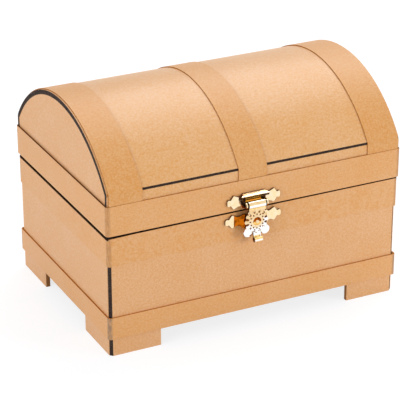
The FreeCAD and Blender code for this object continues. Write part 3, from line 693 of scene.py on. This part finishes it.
def rolled_sheet(left, width, line, middle, turn, steps):
    """A sheet along X. Its section follows a line of points, then rolls about the middle."""
    bm = bmesh.new()
    end = draw_line(bm, [(left, *spot) for spot in line])[-1]
    swing(bm, end, (left, *middle), turn, steps)
    sweep(bm, width)
    return bm


def slice_at(bm, axis, level, keep=lambda face: True):
    """Cuts the chosen faces across an axis."""
    faces = [face for face in bm.faces if keep(face)]
    edges = {edge for face in faces for edge in face.edges}
    points = {point for face in faces for point in face.verts}
    bmesh.ops.bisect_plane(bm, geom=[*points, *edges, *faces], dist=CUT_REACH,
                           plane_co=AXES[axis] * level, plane_no=AXES[axis])


def thicken(bm, thickness):
    """Turns a sheet into a closed plate, with half of its thickness on each side."""
    bmesh.ops.recalc_face_normals(bm, faces=bm.faces)
    bm.normal_update()
    for point in bm.verts:
        point.co -= point.normal * point.calc_shell_factor() * thickness / 2
    bmesh.ops.solidify(bm, geom=list(bm.faces), thickness=-thickness)
    bmesh.ops.recalc_face_normals(bm, faces=bm.faces)


def face_outwards(bm, middle):
    """Turns a sheet's faces away from a point."""
    bmesh.ops.recalc_face_normals(bm, faces=bm.faces)
    bm.normal_update()
    face = max(bm.faces, key=lambda item: item.calc_area())
    if face.normal.dot(face.calc_center_median() - middle) < 0:
        bmesh.ops.reverse_faces(bm, faces=bm.faces)


def shade_rim(bm, axis, plate=False):
    """Paints shade on the cut edges of a sheet: those that face along the axis or, on a plate, those that
    don't.
    """
    bm.normal_update()
    for face in bm.faces:
        tilt = abs(face.normal[axis])
        if tilt < LOOSE_TILT if plate else tilt > CLOSE_TILT:
            face.material_index = RIM


def make_mesh(name, bm):
    """Makes a mesh of a finished shape."""
    mesh = bpy.data.meshes.new(name)
    bm.to_mesh(mesh)
    bm.free()
    return mesh


def absorb(bm, part):
    """Moves a part's shape into a mesh that is being built."""
    mesh = make_mesh("part", part)
    bm.from_mesh(mesh)
    bpy.data.meshes.remove(mesh)


def add_object(name, data):
    """Puts a new object into the scene."""
    item = bpy.data.objects.new(name, data)
    bpy.context.scene.collection.objects.link(item)
    return item


def add_piece(name, bm, body, finishes, node, sharp=SHARP_ANGLE):
    """Makes a piece of a finished shape. It rides on its body and stands for a node."""
    mesh = make_mesh(name, bm)
    for finish in finishes:
        mesh.materials.append(finish_named(finish))
    mesh.shade_smooth()
    mesh.set_sharp_from_angle(angle=sharp)
    piece = add_object(name, mesh)
    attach(piece, body)
    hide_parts(node)
    return piece


def add_wall(piece, thickness):
    """Gives a sheet its thickness, inwards."""
    wall = piece.modifiers.new("wall", "SOLIDIFY")
    wall.thickness = thickness
    wall.offset = -1.0
    return wall


def soften(piece, width, steps=2):
    """Rounds a piece's sharp edges."""
    edges = piece.modifiers.new("soft edges", "BEVEL")
    edges.width = width
    edges.segments = steps
    edges.limit_method = "ANGLE"
    edges.angle_limit = SHARP_ANGLE
    edges.harden_normals = True


def add_paper(node, bm, body, finishes, thickness):
    """Makes a paper piece of a sheet. Its second finish is that of its cut edges."""
    piece = add_piece(f"kraft_{node}", bm, body, finishes, node)
    wall = add_wall(piece, thickness)
    wall.use_even_offset = True
    wall.material_offset_rim = RIM
    soften(piece, bpy.context.scene.chest_paper.edge_round)


def add_metal(node, bm, body, finishes):
    """Makes a stamped gilt piece."""
    piece = add_piece(f"gilt_{node}", bm, body, finishes, node)
    soften(piece, bpy.context.scene.chest_gilt.edge_round)


def add_pin(node, body, finish, half):
    """Makes a pin along X, as thick as its node and this long on each side of its middle."""
    gilt = bpy.context.scene.chest_gilt
    low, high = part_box(node)
    bm = bmesh.new()
    add_rod(bm, centre(node), (high.z - low.z) / 2, 2 * half, gilt.pin_steps)
    piece = add_piece(f"gilt_{node}", bm, body, (finish,), node)
    soften(piece, gilt.edge_round * 2, steps=3)


def add_prongs(bm, middle, pitch, level, start, stop):
    """Adds two prongs from a plate's back at start, through the board to stop, each with its bent tab."""
    gilt = bpy.context.scene.chest_gilt
    near, far = sorted((start, stop))
    tab = sorted((stop, stop - math.copysign(gilt.prong_thick, stop - start)))
    low, high = level - gilt.prong_thick / 2, level + gilt.prong_thick / 2
    for side in SIDES:
        left = middle + side * pitch / 2 - gilt.prong_width / 2
        right = left + gilt.prong_width
        add_box(bm, (left, near, low), (right, far, high))
        add_box(bm, (left, tab[0], low), (right, tab[1], low + gilt.prong_tab))


def plate_face(bm, node, middle, back):
    """The flat face of a clasp plate: a straight middle with a turned finial at each end."""
    gilt = bpy.context.scene.chest_gilt
    low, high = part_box(node)
    half_x, half_z = (high.x - low.x) / 2, (high.z - low.z) / 2
    quarter = [(along * half_x, out * half_z) for along, out in FINIAL_SHARES]
    right = quarter + [(along, -out) for along, out in reversed(quarter)]
    outline = right + [(-along, -out) for along, out in right]
    places = [(middle + along, back, centre(node).z + out) for along, out in outline]
    points = draw_line(bm, places)
    bmesh.ops.contextual_create(bm, geom=[points[0], points[-1]])
    bmesh.ops.edgeloop_fill(bm, edges=bm.edges)
    bmesh.ops.bevel(bm, geom=points, offset=gilt.corner, offset_type="ABSOLUTE", segments=gilt.corner_steps,
                    profile=0.5, affect="VERTICES", material=-1)


class Vault:
    """The lid's curve, read from its facing: an arc about an axis along X."""

    def __init__(self):
        low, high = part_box("lid_vault_facing")
        rise = high.z - low.z
        half = (high.y - low.y) / 2
        self.radius = (half ** 2 + rise ** 2) / (2 * rise)
        self.middle = Vector((0, (low.y + high.y) / 2, high.z - self.radius))

    def sheet(self, low, high, radius, half=None):
        """A sheet over the lid at this radius. With half, it has flanges that far from the middle."""
        bm = bmesh.new()
        level = low.z if half is None else self.middle.z + math.sqrt(radius ** 2 - half ** 2)
        reach = math.sqrt(radius ** 2 - (level - self.middle.z) ** 2)
        turn = 2 * math.atan2(reach, level - self.middle.z)
        end = bm.verts.new((low.x, self.middle.y - reach, low.z))
        if half is not None:
            end = extend(bm, end, (low.x, self.middle.y - half, level))
        end = swing(bm, end, (low.x, *self.middle.yz), -turn, bpy.context.scene.chest_paper.arc_steps)
        if half is not None:
            extend(bm, end, (low.x, self.middle.y + half, low.z))
        sweep(bm, high.x - low.x)
        face_outwards(bm, self.middle)
        return bm


# Operators

class CHEST_OT_boards(bpy.types.Operator):
    """Finish the dark boards and their flat kraft facings and linings"""
    bl_idname = "chest.boards"
    bl_label = "Boards and facings"

    def execute(self, context):
        for finish, nodes in PLAIN_NODES.items():
            for node in nodes:
                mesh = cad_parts[node].data
                mesh.materials.clear()
                mesh.materials.append(finish_named(finish))
        return {"FINISHED"}


class CHEST_OT_bands(bpy.types.Operator):
    """Wrap the kraft strips round the base and the lid"""
    bl_idname = "chest.bands"
    bl_label = "Bands"

    def execute(self, context):
        paper = context.scene.chest_paper
        for node, (body, under, wear, worn) in BANDS.items():
            low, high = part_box(node)
            bm = self.strip(paper, low, high)
            if node == "base_rim_band":
                self.narrow_seam(bm, paper, low, high)
            name = f"kraft_{node}"
            crease = (node, wear, getattr(paper, worn))
            MATERIALS[name] = kraft_finish(name, paper.strip_pale, paper.strip_tawny, paper.rough, crease)
            add_paper(node, bm, body, (name, "kraft_cut_edge"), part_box(under)[0].y - low.y)
        return {"FINISHED"}

    def strip(self, paper, low, high):
        """A strip bent round the four corners, whose ends meet at the back."""
        bm = bmesh.new()
        add_box(bm, low, high)
        bm.normal_update()
        upright = [edge for edge in bm.edges if abs(edge.verts[0].co.z - edge.verts[1].co.z) > MM]
        bmesh.ops.bevel(bm, geom=upright, offset=paper.strip_corner, offset_type="OFFSET",
                        segments=paper.corner_steps, profile=0.5, affect="EDGES", material=-1)
        bm.normal_update()
        caps = [face for face in bm.faces if abs(face.normal.z) > LOOSE_TILT]
        bmesh.ops.delete(bm, geom=caps, context="FACES")
        for side in SIDES:
            slice_at(bm, X, -paper.joint_place + side * paper.joint_gap / 2,
                     lambda face: face.calc_center_median().y > 0)
        joint = [face for face in bm.faces if face.calc_center_median().y > 0
                 and abs(face.calc_center_median().x + paper.joint_place) < paper.joint_gap / 2]
        bmesh.ops.delete(bm, geom=joint, context="FACES")
        return bm

    def narrow_seam(self, bm, paper, low, high):
        """Lifts the strip's top edge to the right, so that the seam above it narrows."""
        slice_at(bm, X, low.x + paper.seam_bend)
        for point in bm.verts:
            if point.co.z > (low.z + high.z) / 2:
                along = point.co.x - low.x
                point.co.z += paper.seam_lift * min(along / paper.seam_bend, 1.0)
                point.co.z += paper.seam_rise * along / (high.x - low.x)


class CHEST_OT_vault(bpy.types.Operator):
    """Curve the kraft facing over the lid's board"""
    bl_idname = "chest.vault"
    bl_label = "Vault facing"

    def execute(self, context):
        vault = Vault()
        low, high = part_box("lid_vault_facing")
        add_paper("lid_vault_facing", vault.sheet(low, high, vault.radius), "lid",
                  ("kraft_vault", "dark_core_board"), high.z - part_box("lid_vault_board")[1].z)
        return {"FINISHED"}


class CHEST_OT_straps(bpy.types.Operator):
    """Lay the kraft straps over the vault"""
    bl_idname = "chest.straps"
    bl_label = "Straps"

    def execute(self, context):
        vault = Vault()
        for node in ("left_strap", "centre_strap", "right_strap"):
            low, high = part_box(node)
            bm = vault.sheet(low, high, high.z - vault.middle.z, (high.y - low.y) / 2)
            add_paper(node, bm, "lid", ("kraft_strap", "kraft_cut_edge"),
                      high.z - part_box("lid_vault_facing")[1].z)
        return {"FINISHED"}


class CHEST_OT_clasp(bpy.types.Operator):
    """Stamp the clasp's upper plate, with its louvre, ears and prongs, and put in the pin"""
    bl_idname = "chest.clasp"
    bl_label = "Clasp plate and pin"

    def execute(self, context):
        gilt = context.scene.chest_gilt
        pin = centre("hasp_pin")
        face_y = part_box("lid_rim_band")[0].y
        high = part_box("clasp_plate")[1]
        shade = pin.z - gilt.shade_drop
        bm = self.plate(gilt, pin, face_y, high.z, shade)
        self.louvre(gilt, bm, pin.x, face_y, high.z)
        for side in SIDES:
            self.ear(gilt, bm, pin, face_y, side, shade)
        add_prongs(bm, pin.x, gilt.plate_prong_pitch, centre("clasp_plate").z, face_y, high.y)
        add_metal("clasp_plate", bm, "lid",
                  ("gilt_sheet", "gilt_rim", "gilt_recess", "gilt_amber", "gilt_gleam", "gilt_pale"))
        # The hasp's pin is dark with painted shade
        add_pin("hasp_pin", "lid", "gilt_rim", gilt.ear_inner + gilt.ear_thick - gilt.edge_round)
        return {"FINISHED"}

    def plate(self, gilt, pin, face_y, top, shade):
        """The flat plate, with painted shade in the hollow behind the knuckle, a painted gleam at its foot,
        and painted amber shade on its left below the ear.
        """
        wide_half = gilt.louvre_half + gilt.louvre_sheet
        fold = top - gilt.sheet / 2
        lip = top - gilt.hollow_drop
        gleam = pin.z + gilt.gleam_rise
        bm = bmesh.new()
        plate_face(bm, "clasp_plate", pin.x, face_y - gilt.sheet / 2)
        for level in (shade, gleam, lip, fold):
            slice_at(bm, Z, level)
        for half in (gilt.hasp_half, gilt.window_half, wide_half):
            for side in SIDES:
                slice_at(bm, X, pin.x + side * half)
        # Painted shade in the hollow, a painted gleam at its foot, and painted amber shade left of it
        for face in bm.faces:
            spot = face.calc_center_median()
            across = abs(spot.x - pin.x)
            half = gilt.window_half if spot.z < lip else wide_half
            if across < half and spot.z < fold:
                face.material_index = GLEAM if across < gilt.hasp_half and spot.z < gleam else IN_SHADE
            if pin.x - wide_half < spot.x < pin.x - gilt.window_half and spot.z < shade:
                face.material_index = SIDE
        thicken(bm, gilt.sheet)
        shade_rim(bm, Y, plate=True)
        return bm

    def louvre(self, gilt, bm, middle, face_y, top):
        """The louvre: a sloping sheet from the plate's top edge out over the knuckle, wider at its lip."""
        half_sheet = gilt.louvre_sheet / 2
        left = middle - gilt.louvre_half
        part = bmesh.new()
        fold = Vector((left, face_y - gilt.sheet, top - half_sheet))
        lip = Vector((left, face_y - gilt.louvre_rise + half_sheet, top - gilt.louvre_drop + half_sheet))
        streak = fold.lerp(lip, gilt.louvre_streak)
        draw_line(part, (fold, streak, lip))
        sweep(part, 2 * gilt.louvre_half)
        for point in part.verts:
            out = (fold.y - point.co.y) / (fold.y - lip.y)
            half = gilt.louvre_top + (gilt.louvre_half - gilt.louvre_top) * out
            point.co.x = middle + (point.co.x - middle) * half / gilt.louvre_half
        thicken(part, gilt.louvre_sheet)
        # Painted highlight on the louvre's lower part, painted shade on its side edges
        for face in part.faces:
            face.material_index = HIGHLIT if face.calc_center_median().y < streak.y else FACE
        shade_rim(part, X)
        absorb(bm, part)

    def ear(self, gilt, bm, pin, face_y, side, shade):
        """An ear that holds one end of the pin, rounded about it."""
        inner, outer = gilt.ear_inner, gilt.ear_inner + gilt.ear_thick
        left, right = sorted((pin.x + side * inner, pin.x + side * outer))
        part = bmesh.new()
        add_box(part, (left, pin.y, pin.z - gilt.ear_radius), (right, face_y, pin.z + gilt.ear_radius))
        add_rod(part, ((left + right) / 2, pin.y, pin.z), gilt.ear_radius, gilt.ear_thick, gilt.round_steps)
        slice_at(part, Z, shade)
        part.normal_update()
        # Painted shade on the ear's left side and underside: dark above the amber level, amber below
        for face in part.faces:
            if face.normal.x < -CLOSE_TILT:
                face.material_index = IN_SHADE if face.calc_center_median().z > shade else SIDE
            elif face.normal.z < -EAR_UNDER_TILT:
                face.material_index = SIDE
        absorb(bm, part)


class CHEST_OT_catch(bpy.types.Operator):
    """Stamp the clasp's lower plate, whose middle rises into a saddle"""
    bl_idname = "chest.catch"
    bl_label = "Catch plate"

    def execute(self, context):
        gilt = context.scene.chest_gilt
        low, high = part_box("catch_plate")
        middle = centre("catch_plate")
        face_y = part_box("base_rim_band")[0].y
        back = face_y - gilt.sheet / 2
        rise = low.y + gilt.sheet / 2 - back
        reach = gilt.saddle_half + gilt.saddle_slope
        bm = bmesh.new()
        plate_face(bm, "catch_plate", middle.x, back)
        for side in SIDES:
            for step in range(gilt.saddle_steps + 1):
                out = gilt.saddle_half + gilt.saddle_slope * step / gilt.saddle_steps
                slice_at(bm, X, middle.x + side * out)
        for point in bm.verts:
            out = (reach - abs(point.co.x - middle.x)) / gilt.saddle_slope
            out = min(max(out, 0.0), 1.0)
            point.co.y += rise * out * out * (3 - 2 * out)
        # Painted amber shade on the saddle's left slope; the right slope stays plain
        for face in bm.faces:
            if middle.x - reach < face.calc_center_median().x < middle.x:
                face.material_index = IN_SHADE
        thicken(bm, gilt.sheet)
        shade_rim(bm, Y, plate=True)
        add_prongs(bm, middle.x, gilt.plate_prong_pitch, middle.z, face_y, high.y)
        add_metal("catch_plate", bm, "base", ("gilt_sheet", "gilt_rim", "gilt_amber"))
        return {"FINISHED"}


class CHEST_OT_hasp(bpy.types.Operator):
    """Roll the hasp's knuckle, neck, tongue and lip, and stamp its rosette and lobes"""
    bl_idname = "chest.hasp"
    bl_label = "Hasp"

    def execute(self, context):
        gilt = context.scene.chest_gilt
        pin = centre("hasp_pin")
        middle = pin - Vector((0, 0, gilt.hasp_drop))
        bm = bmesh.new()
        self.neck(gilt, bm, pin, middle)
        self.tongue(gilt, bm, middle)
        self.lobes(gilt, bm, middle)
        add_metal("hasp", bm, "hasp",
                  ("gilt_hasp_sheet", "gilt_rim", "gilt_amber", "gilt_sheet", "gilt_gleam", "gilt_white"))
        self.rosette(gilt, middle)
        return {"FINISHED"}

    def neck(self, gilt, bm, pin, middle):
        """The knuckle, rolled over the pin, and the neck that hangs from it."""
        roll = gilt.knuckle_radius - gilt.hasp_sheet / 2
        line = [middle.yz, *((pin.y + out * roll, pin.z + up * roll) for out, up in NECK_SHARES)]
        part = rolled_sheet(pin.x - gilt.hasp_half, 2 * gilt.hasp_half, line, pin.yz,
                            -gilt.knuckle_turn, gilt.round_steps)
        thicken(part, gilt.hasp_sheet)
        crease_low, crease_high = (up * roll for out, up in NECK_SHARES[2:])
        # Painted reflection on the knuckle's back and on faces of middling tilt, painted shade in the neck's
        # crease, painted highlight on the rest above it
        for face in part.faces:
            spot = face.calc_center_median() - pin
            tilt = face.normal.z
            behind = spot.z > 0 and spot.y > -KNUCKLE_BACK_SHARE * roll
            if behind or GLEAM_TILT < tilt < PLAIN_TILT:
                face.material_index = GLEAM
            elif crease_low < spot.z < crease_high:
                face.material_index = IN_SHADE
            elif spot.z > crease_high and not PLAIN_TILT <= tilt < PALE_TILT:
                face.material_index = HIGHLIT
        shade_rim(part, X)
        absorb(bm, part)

    def tongue(self, gilt, bm, middle):
        """The tongue below the rosette, curled up into a wider lip."""
        roll = gilt.lip_radius - gilt.hasp_sheet / 2
        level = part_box("hasp")[0].z + gilt.lip_radius
        curl = Vector((middle.x, middle.y - roll, level))
        line = [(middle.y, height) for height in (middle.z, level + roll, level)]
        part = rolled_sheet(middle.x - gilt.lip_half, 2 * gilt.lip_half, line, curl.yz,
                            -gilt.lip_turn, gilt.pin_steps)
        for point in part.verts:
            if point.co.z > level + roll * TONGUE_FOOT_SHARE:
                point.co.x = middle.x + (point.co.x - middle.x) * gilt.tongue_half / gilt.lip_half
            if point.co.z < middle.z - roll:
                point.co.x += gilt.lean
        thicken(part, gilt.hasp_sheet)
        # Painted shade inside the curl, painted highlight on its front and on faces near upright, painted
        # reflection on faces turned up, and painted shade in plain gilt on faces turned down
        for face in part.faces:
            spot = face.calc_center_median() - curl
            front, floor = roll * LIP_FRONT_SHARE, roll * LIP_FLOOR_SHARE
            inside = spot.yz.length < roll and face.normal.yz.dot(spot.yz) < 0
            if inside and (spot.y < front or spot.z < floor):
                face.material_index = IN_SHADE
            elif spot.y > front or LIP_PALE_TILTS[0] < face.normal.z < LIP_PALE_TILTS[1]:
                face.material_index = HIGHLIT
            else:
                face.material_index = GLEAM if face.normal.z > 0 else SIDE
        shade_rim(part, X)
        absorb(bm, part)

    def lobes(self, gilt, bm, middle):
        """The two smooth lower lobes."""
        size = Matrix.Diagonal((gilt.lobe_radius, gilt.hasp_sheet, gilt.lobe_radius, 1.0))
        for side in SIDES:
            spot = middle + Vector((side * gilt.lobe_spread + gilt.lean / 2, 0, -gilt.lobe_drop))
            part = bmesh.new()
            bmesh.ops.create_uvsphere(part, u_segments=gilt.round_steps, v_segments=gilt.round_steps // 2,
                                      radius=1.0, matrix=Matrix.Translation(spot) @ size)
            part.normal_update()
            # Painted highlight on the lobes' fronts, painted amber shade round their edges
            for face in part.faces:
                face.material_index = IN_SHADE if abs(face.normal.y) < LOBE_FACE_TILT else HIGHLIT
            absorb(bm, part)

    def rosette(self, gilt, middle):
        """The rosette: its section turned about the middle, then scalloped into petals with pits between."""
        front = middle.y - gilt.hasp_sheet / 2
        places = [(middle.x + out * gilt.rosette_radius, front - up * gilt.dome_height, middle.z)
                  for out, up in ROSETTE_SHARES]
        bm = bmesh.new()
        draw_line(bm, places)
        bmesh.ops.spin(bm, geom=[*bm.verts, *bm.edges], cent=middle, axis=AXES[Y], angle=2 * math.pi,
                       steps=gilt.petals * gilt.petal_steps, use_merge=True)
        bmesh.ops.remove_doubles(bm, verts=bm.verts, dist=WELD_REACH)
        self.scallop(gilt, bm, middle, front)
        face_outwards(bm, middle + Vector((0, gilt.rosette_radius, 0)))
        pits = self.petals(gilt, bm, middle)
        walls = bmesh.ops.inset_region(bm, faces=pits, thickness=gilt.edge_round / 3, depth=-gilt.pit_depth)
        for face in pits + walls["faces"]:
            face.material_index = RIM
        piece = add_piece("gilt_hasp_rosette", bm, "hasp",
                          ("gilt_hasp_sheet", "gilt_pit", "gilt_amber", "gilt_white", "gilt_gleam"),
                          "hasp", math.pi)
        add_wall(piece, gilt.hasp_sheet / 2)
        smooth = piece.modifiers.new("smooth", "SUBSURF")
        smooth.levels = gilt.smooth_levels
        smooth.render_levels = gilt.smooth_levels

    def scallop(self, gilt, bm, middle, front):
        """Draws the rosette in and lowers it in the valleys between its petals."""
        start = PETAL_START_SHARE * gilt.rosette_radius
        for point in bm.verts:
            arm = (point.co - middle).xz
            if arm.length < start:
                continue
            valley = (1 - math.cos(gilt.petals * math.atan2(arm.y, arm.x))) / 2
            out = (arm.length - start) / (gilt.rosette_radius - start)
            shrunk = arm * (1 - valley * out * gilt.petal_cut / gilt.rosette_radius)
            lowered = (front - point.co.y) * (1 - VALLEY_SHARE * valley * min(out * VALLEY_HASTE, 1.0))
            point.co = (middle.x + shrunk.x, front - lowered, middle.z + shrunk.y)

    def petals(self, gilt, bm, middle):
        """Paints shade and a gleam into the cup, shade into the valleys and a highlight onto the lower
        petals, and returns the faces of the pits.
        """
        pits = []
        petal = 2 * math.pi / gilt.petals
        step = 1 / gilt.petal_steps
        for face in bm.faces:
            arm = (face.calc_center_median() - middle).xz
            ring = sum(out * gilt.rosette_radius < arm.length * RING_SLACK for out, up in ROSETTE_SHARES) - 1
            turn = math.atan2(arm.y, arm.x) % petal / petal
            from_valley, from_ridge = abs(turn - 0.5), min(turn, 1 - turn)
            pitted = {INNER_PIT_RING: from_ridge < step, OUTER_PIT_RING: from_valley < step}
            if ring in CUP_RINGS:
                face.material_index = IN_SHADE if arm.y > CUP_SLOPE * arm.length else GLEAM
            elif ring in VALLEY_RINGS and from_valley < step:
                face.material_index = IN_SHADE
            elif pitted.get(ring):
                pits.append(face)
            elif ring in PETAL_RINGS and arm.y < PETAL_SLOPE * arm.x:
                face.material_index = SIDE
        return pits


class CHEST_OT_hinges(bpy.types.Operator):
    """Roll the hinges' leaves and put in their pins"""
    bl_idname = "chest.hinges"
    bl_label = "Hinges"

    def execute(self, context):
        gilt = context.scene.chest_gilt
        for side in ("left", "right"):
            pin = f"{side}_hinge_pin"
            low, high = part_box(pin)
            for body in ("base", "lid"):
                self.leaf(gilt, f"{side}_hinge_{body}_leaf", body, centre(pin), high.x - low.x)
            add_pin(pin, "base", "gilt_sheet", (high.x - low.x) / 2)
        return {"FINISHED"}

    def leaf(self, gilt, node, body, axis, width):
        """One leaf: a plate with rounded corners, rolled knuckles, and prongs through the board."""
        up = 1 if body == "lid" else -1
        face_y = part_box(f"{body}_rim_band")[1].y
        plane = face_y + gilt.leaf_sheet / 2
        roll = gilt.barrel_radius - gilt.leaf_sheet / 2
        near = axis.z + up * (gilt.barrel_radius + gilt.knuckle_gap)
        far = axis.z + up * gilt.leaf_height
        bm = bmesh.new()
        points = [bm.verts.new((axis.x + side * width / 2, plane, level))
                  for side, level in ((-1, near), (1, near), (1, far), (-1, far))]
        bmesh.ops.contextual_create(bm, geom=points)
        bmesh.ops.bevel(bm, geom=points[2:], offset=gilt.leaf_corner, offset_type="OFFSET",
                        segments=gilt.leaf_steps, profile=0.5, affect="VERTICES", material=-1)
        thicken(bm, gilt.leaf_sheet)
        # Three knuckles share the width: the lid's leaf has the middle one, the base's leaf the other two
        parting, half_gap = width / 6, gilt.knuckle_gap / 2
        inner, outer = parting - half_gap, parting + half_gap
        ends = {"lid": ((-inner, inner),), "base": ((-width / 2, -outer), (outer, width / 2))}
        line = ((plane, near + up * gilt.leaf_sheet), (plane, near),
                (axis.y - roll, axis.z + up * roll * BARREL_START_SHARE))
        for start, stop in ends[body]:
            part = rolled_sheet(axis.x + start, stop - start, line, axis.yz,
                                up * gilt.barrel_turn, gilt.barrel_steps)
            thicken(part, gilt.leaf_sheet)
            absorb(bm, part)
        level = axis.z + up * gilt.leaf_prong_drop
        add_prongs(bm, axis.x, gilt.leaf_prong_pitch, level, face_y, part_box(node)[0].y)
        add_metal(node, bm, body, ("gilt_sheet",))


class CHEST_OT_stage(bpy.types.Operator):
    """Set the pale floor, the even light and the camera"""
    bl_idname = "chest.stage"
    bl_label = "Stage"

    def execute(self, context):
        stage = context.scene.chest_stage
        self.floor(stage)
        self.world(context.scene, stage)
        for name in ("key", "fill", "top"):
            self.lamp(stage, name)
        self.camera(context.scene, stage)
        context.scene.view_settings.view_transform = "Standard"
        return {"FINISHED"}

    def floor(self, stage):
        """A pale floor that keeps the soft shadow."""
        bm = bmesh.new()
        bmesh.ops.create_grid(bm, x_segments=1, y_segments=1, size=stage.floor_half)
        mesh = make_mesh("floor", bm)
        add_object("floor", mesh)
        material = bpy.data.materials.new("pale_floor")
        material.use_nodes = True
        mesh.materials.append(material)
        wiring = Wiring(material.node_tree)
        nodes = wiring.tree.nodes
        nodes.remove(nodes["Principled BSDF"])
        scatter = wiring.node("ShaderNodeBsdfDiffuse", {"Color": (stage.floor_tone,) * 3})
        shaded = wiring.node("ShaderNodeBsdfDiffuse", {"Color": stage.floor_shade})
        glow = wiring.node("ShaderNodeEmission", {"Strength": stage.floor_glow})
        white = wiring.node("ShaderNodeAddShader", {0: shaded, 1: glow})
        shown = wiring.node("ShaderNodeMixShader", {0: wiring.seen(), 1: scatter, 2: white})
        wiring.feed(nodes["Material Output"].inputs["Surface"], shown)

    def world(self, scene, stage):
        """Even white light, and a white surround where it is seen."""
        scene.world = bpy.data.worlds.new("even_light")
        scene.world.use_nodes = True
        wiring = Wiring(scene.world.node_tree)
        background = wiring.tree.nodes["Background"].inputs
        wiring.feed(background["Color"], WHITE)
        wiring.feed(background["Strength"], wiring.remap(wiring.seen(), 0.0, 1.0, stage.ambient, 1.0))

    def lamp(self, stage, name):
        """A soft square light, turned to the chest. Only the overhead one gives a sheen."""
        data = bpy.data.lights.new(f"soft_{name}", "AREA")
        data.energy = getattr(stage, f"{name}_power")
        data.size = getattr(stage, f"{name}_size")
        light = add_object(f"soft_{name}", data)
        light.location = getattr(stage, f"{name}_place")
        light.rotation_euler = (Vector(stage.aim) - light.location).to_track_quat("-Z", "Y").to_euler()
        light.visible_glossy = name == "top"

    def camera(self, scene, stage):
        """The camera, to the left of the front and above."""
        level = math.cos(stage.pitch)
        back = Vector((-math.sin(stage.yaw) * level, -math.cos(stage.yaw) * level, math.sin(stage.pitch)))
        data = bpy.data.cameras.new("camera")
        data.lens = stage.lens
        data.sensor_width = stage.sensor
        data.clip_start = stage.nearest
        scene.camera = add_object("camera", data)
        scene.camera.location = Vector(stage.aim) + back * stage.distance
        scene.camera.rotation_euler = back.to_track_quat("Z", "Y").to_euler()


OPERATORS = (CHEST_OT_boards, CHEST_OT_bands, CHEST_OT_vault, CHEST_OT_straps, CHEST_OT_clasp, CHEST_OT_catch,
             CHEST_OT_hasp, CHEST_OT_hinges, CHEST_OT_stage)
SETTINGS = {"chest_paper": PaperSettings, "chest_gilt": GiltSettings, "chest_stage": StageSettings}


class CHEST_PT_sidebar(bpy.types.Panel):
    """Lists the chest's settings and steps"""
    bl_idname = "CHEST_PT_sidebar"
    bl_label = "Treasure Chest"
    bl_space_type = "VIEW_3D"
    bl_region_type = "UI"
    bl_category = "Chest"

    def draw(self, context):
        layout = self.layout
        for operator in OPERATORS:
            layout.operator(operator.bl_idname)
        for name, group in SETTINGS.items():
            box = layout.box()
            for key in group.__annotations__:
                box.prop(getattr(context.scene, name), key)


def register():
    """Registers the settings, the operators and the panel."""
    for name, group in SETTINGS.items():
        bpy.utils.register_class(group)
        setattr(bpy.types.Scene, name, PointerProperty(type=group))
    for operator in (*OPERATORS, CHEST_PT_sidebar):
        bpy.utils.register_class(operator)


def unregister():
    """Takes away what register added."""
    for operator in reversed((*OPERATORS, CHEST_PT_sidebar)):
        bpy.utils.unregister_class(operator)
    for name, group in SETTINGS.items():
        delattr(bpy.types.Scene, name)
        bpy.utils.unregister_class(group)


def main():
    """Dresses the chest in order."""
    register()
    for operator in OPERATORS:
        group, name = operator.bl_idname.split(".")
        getattr(getattr(bpy.ops, group), name)()


if __name__ == "__main__":
    main()
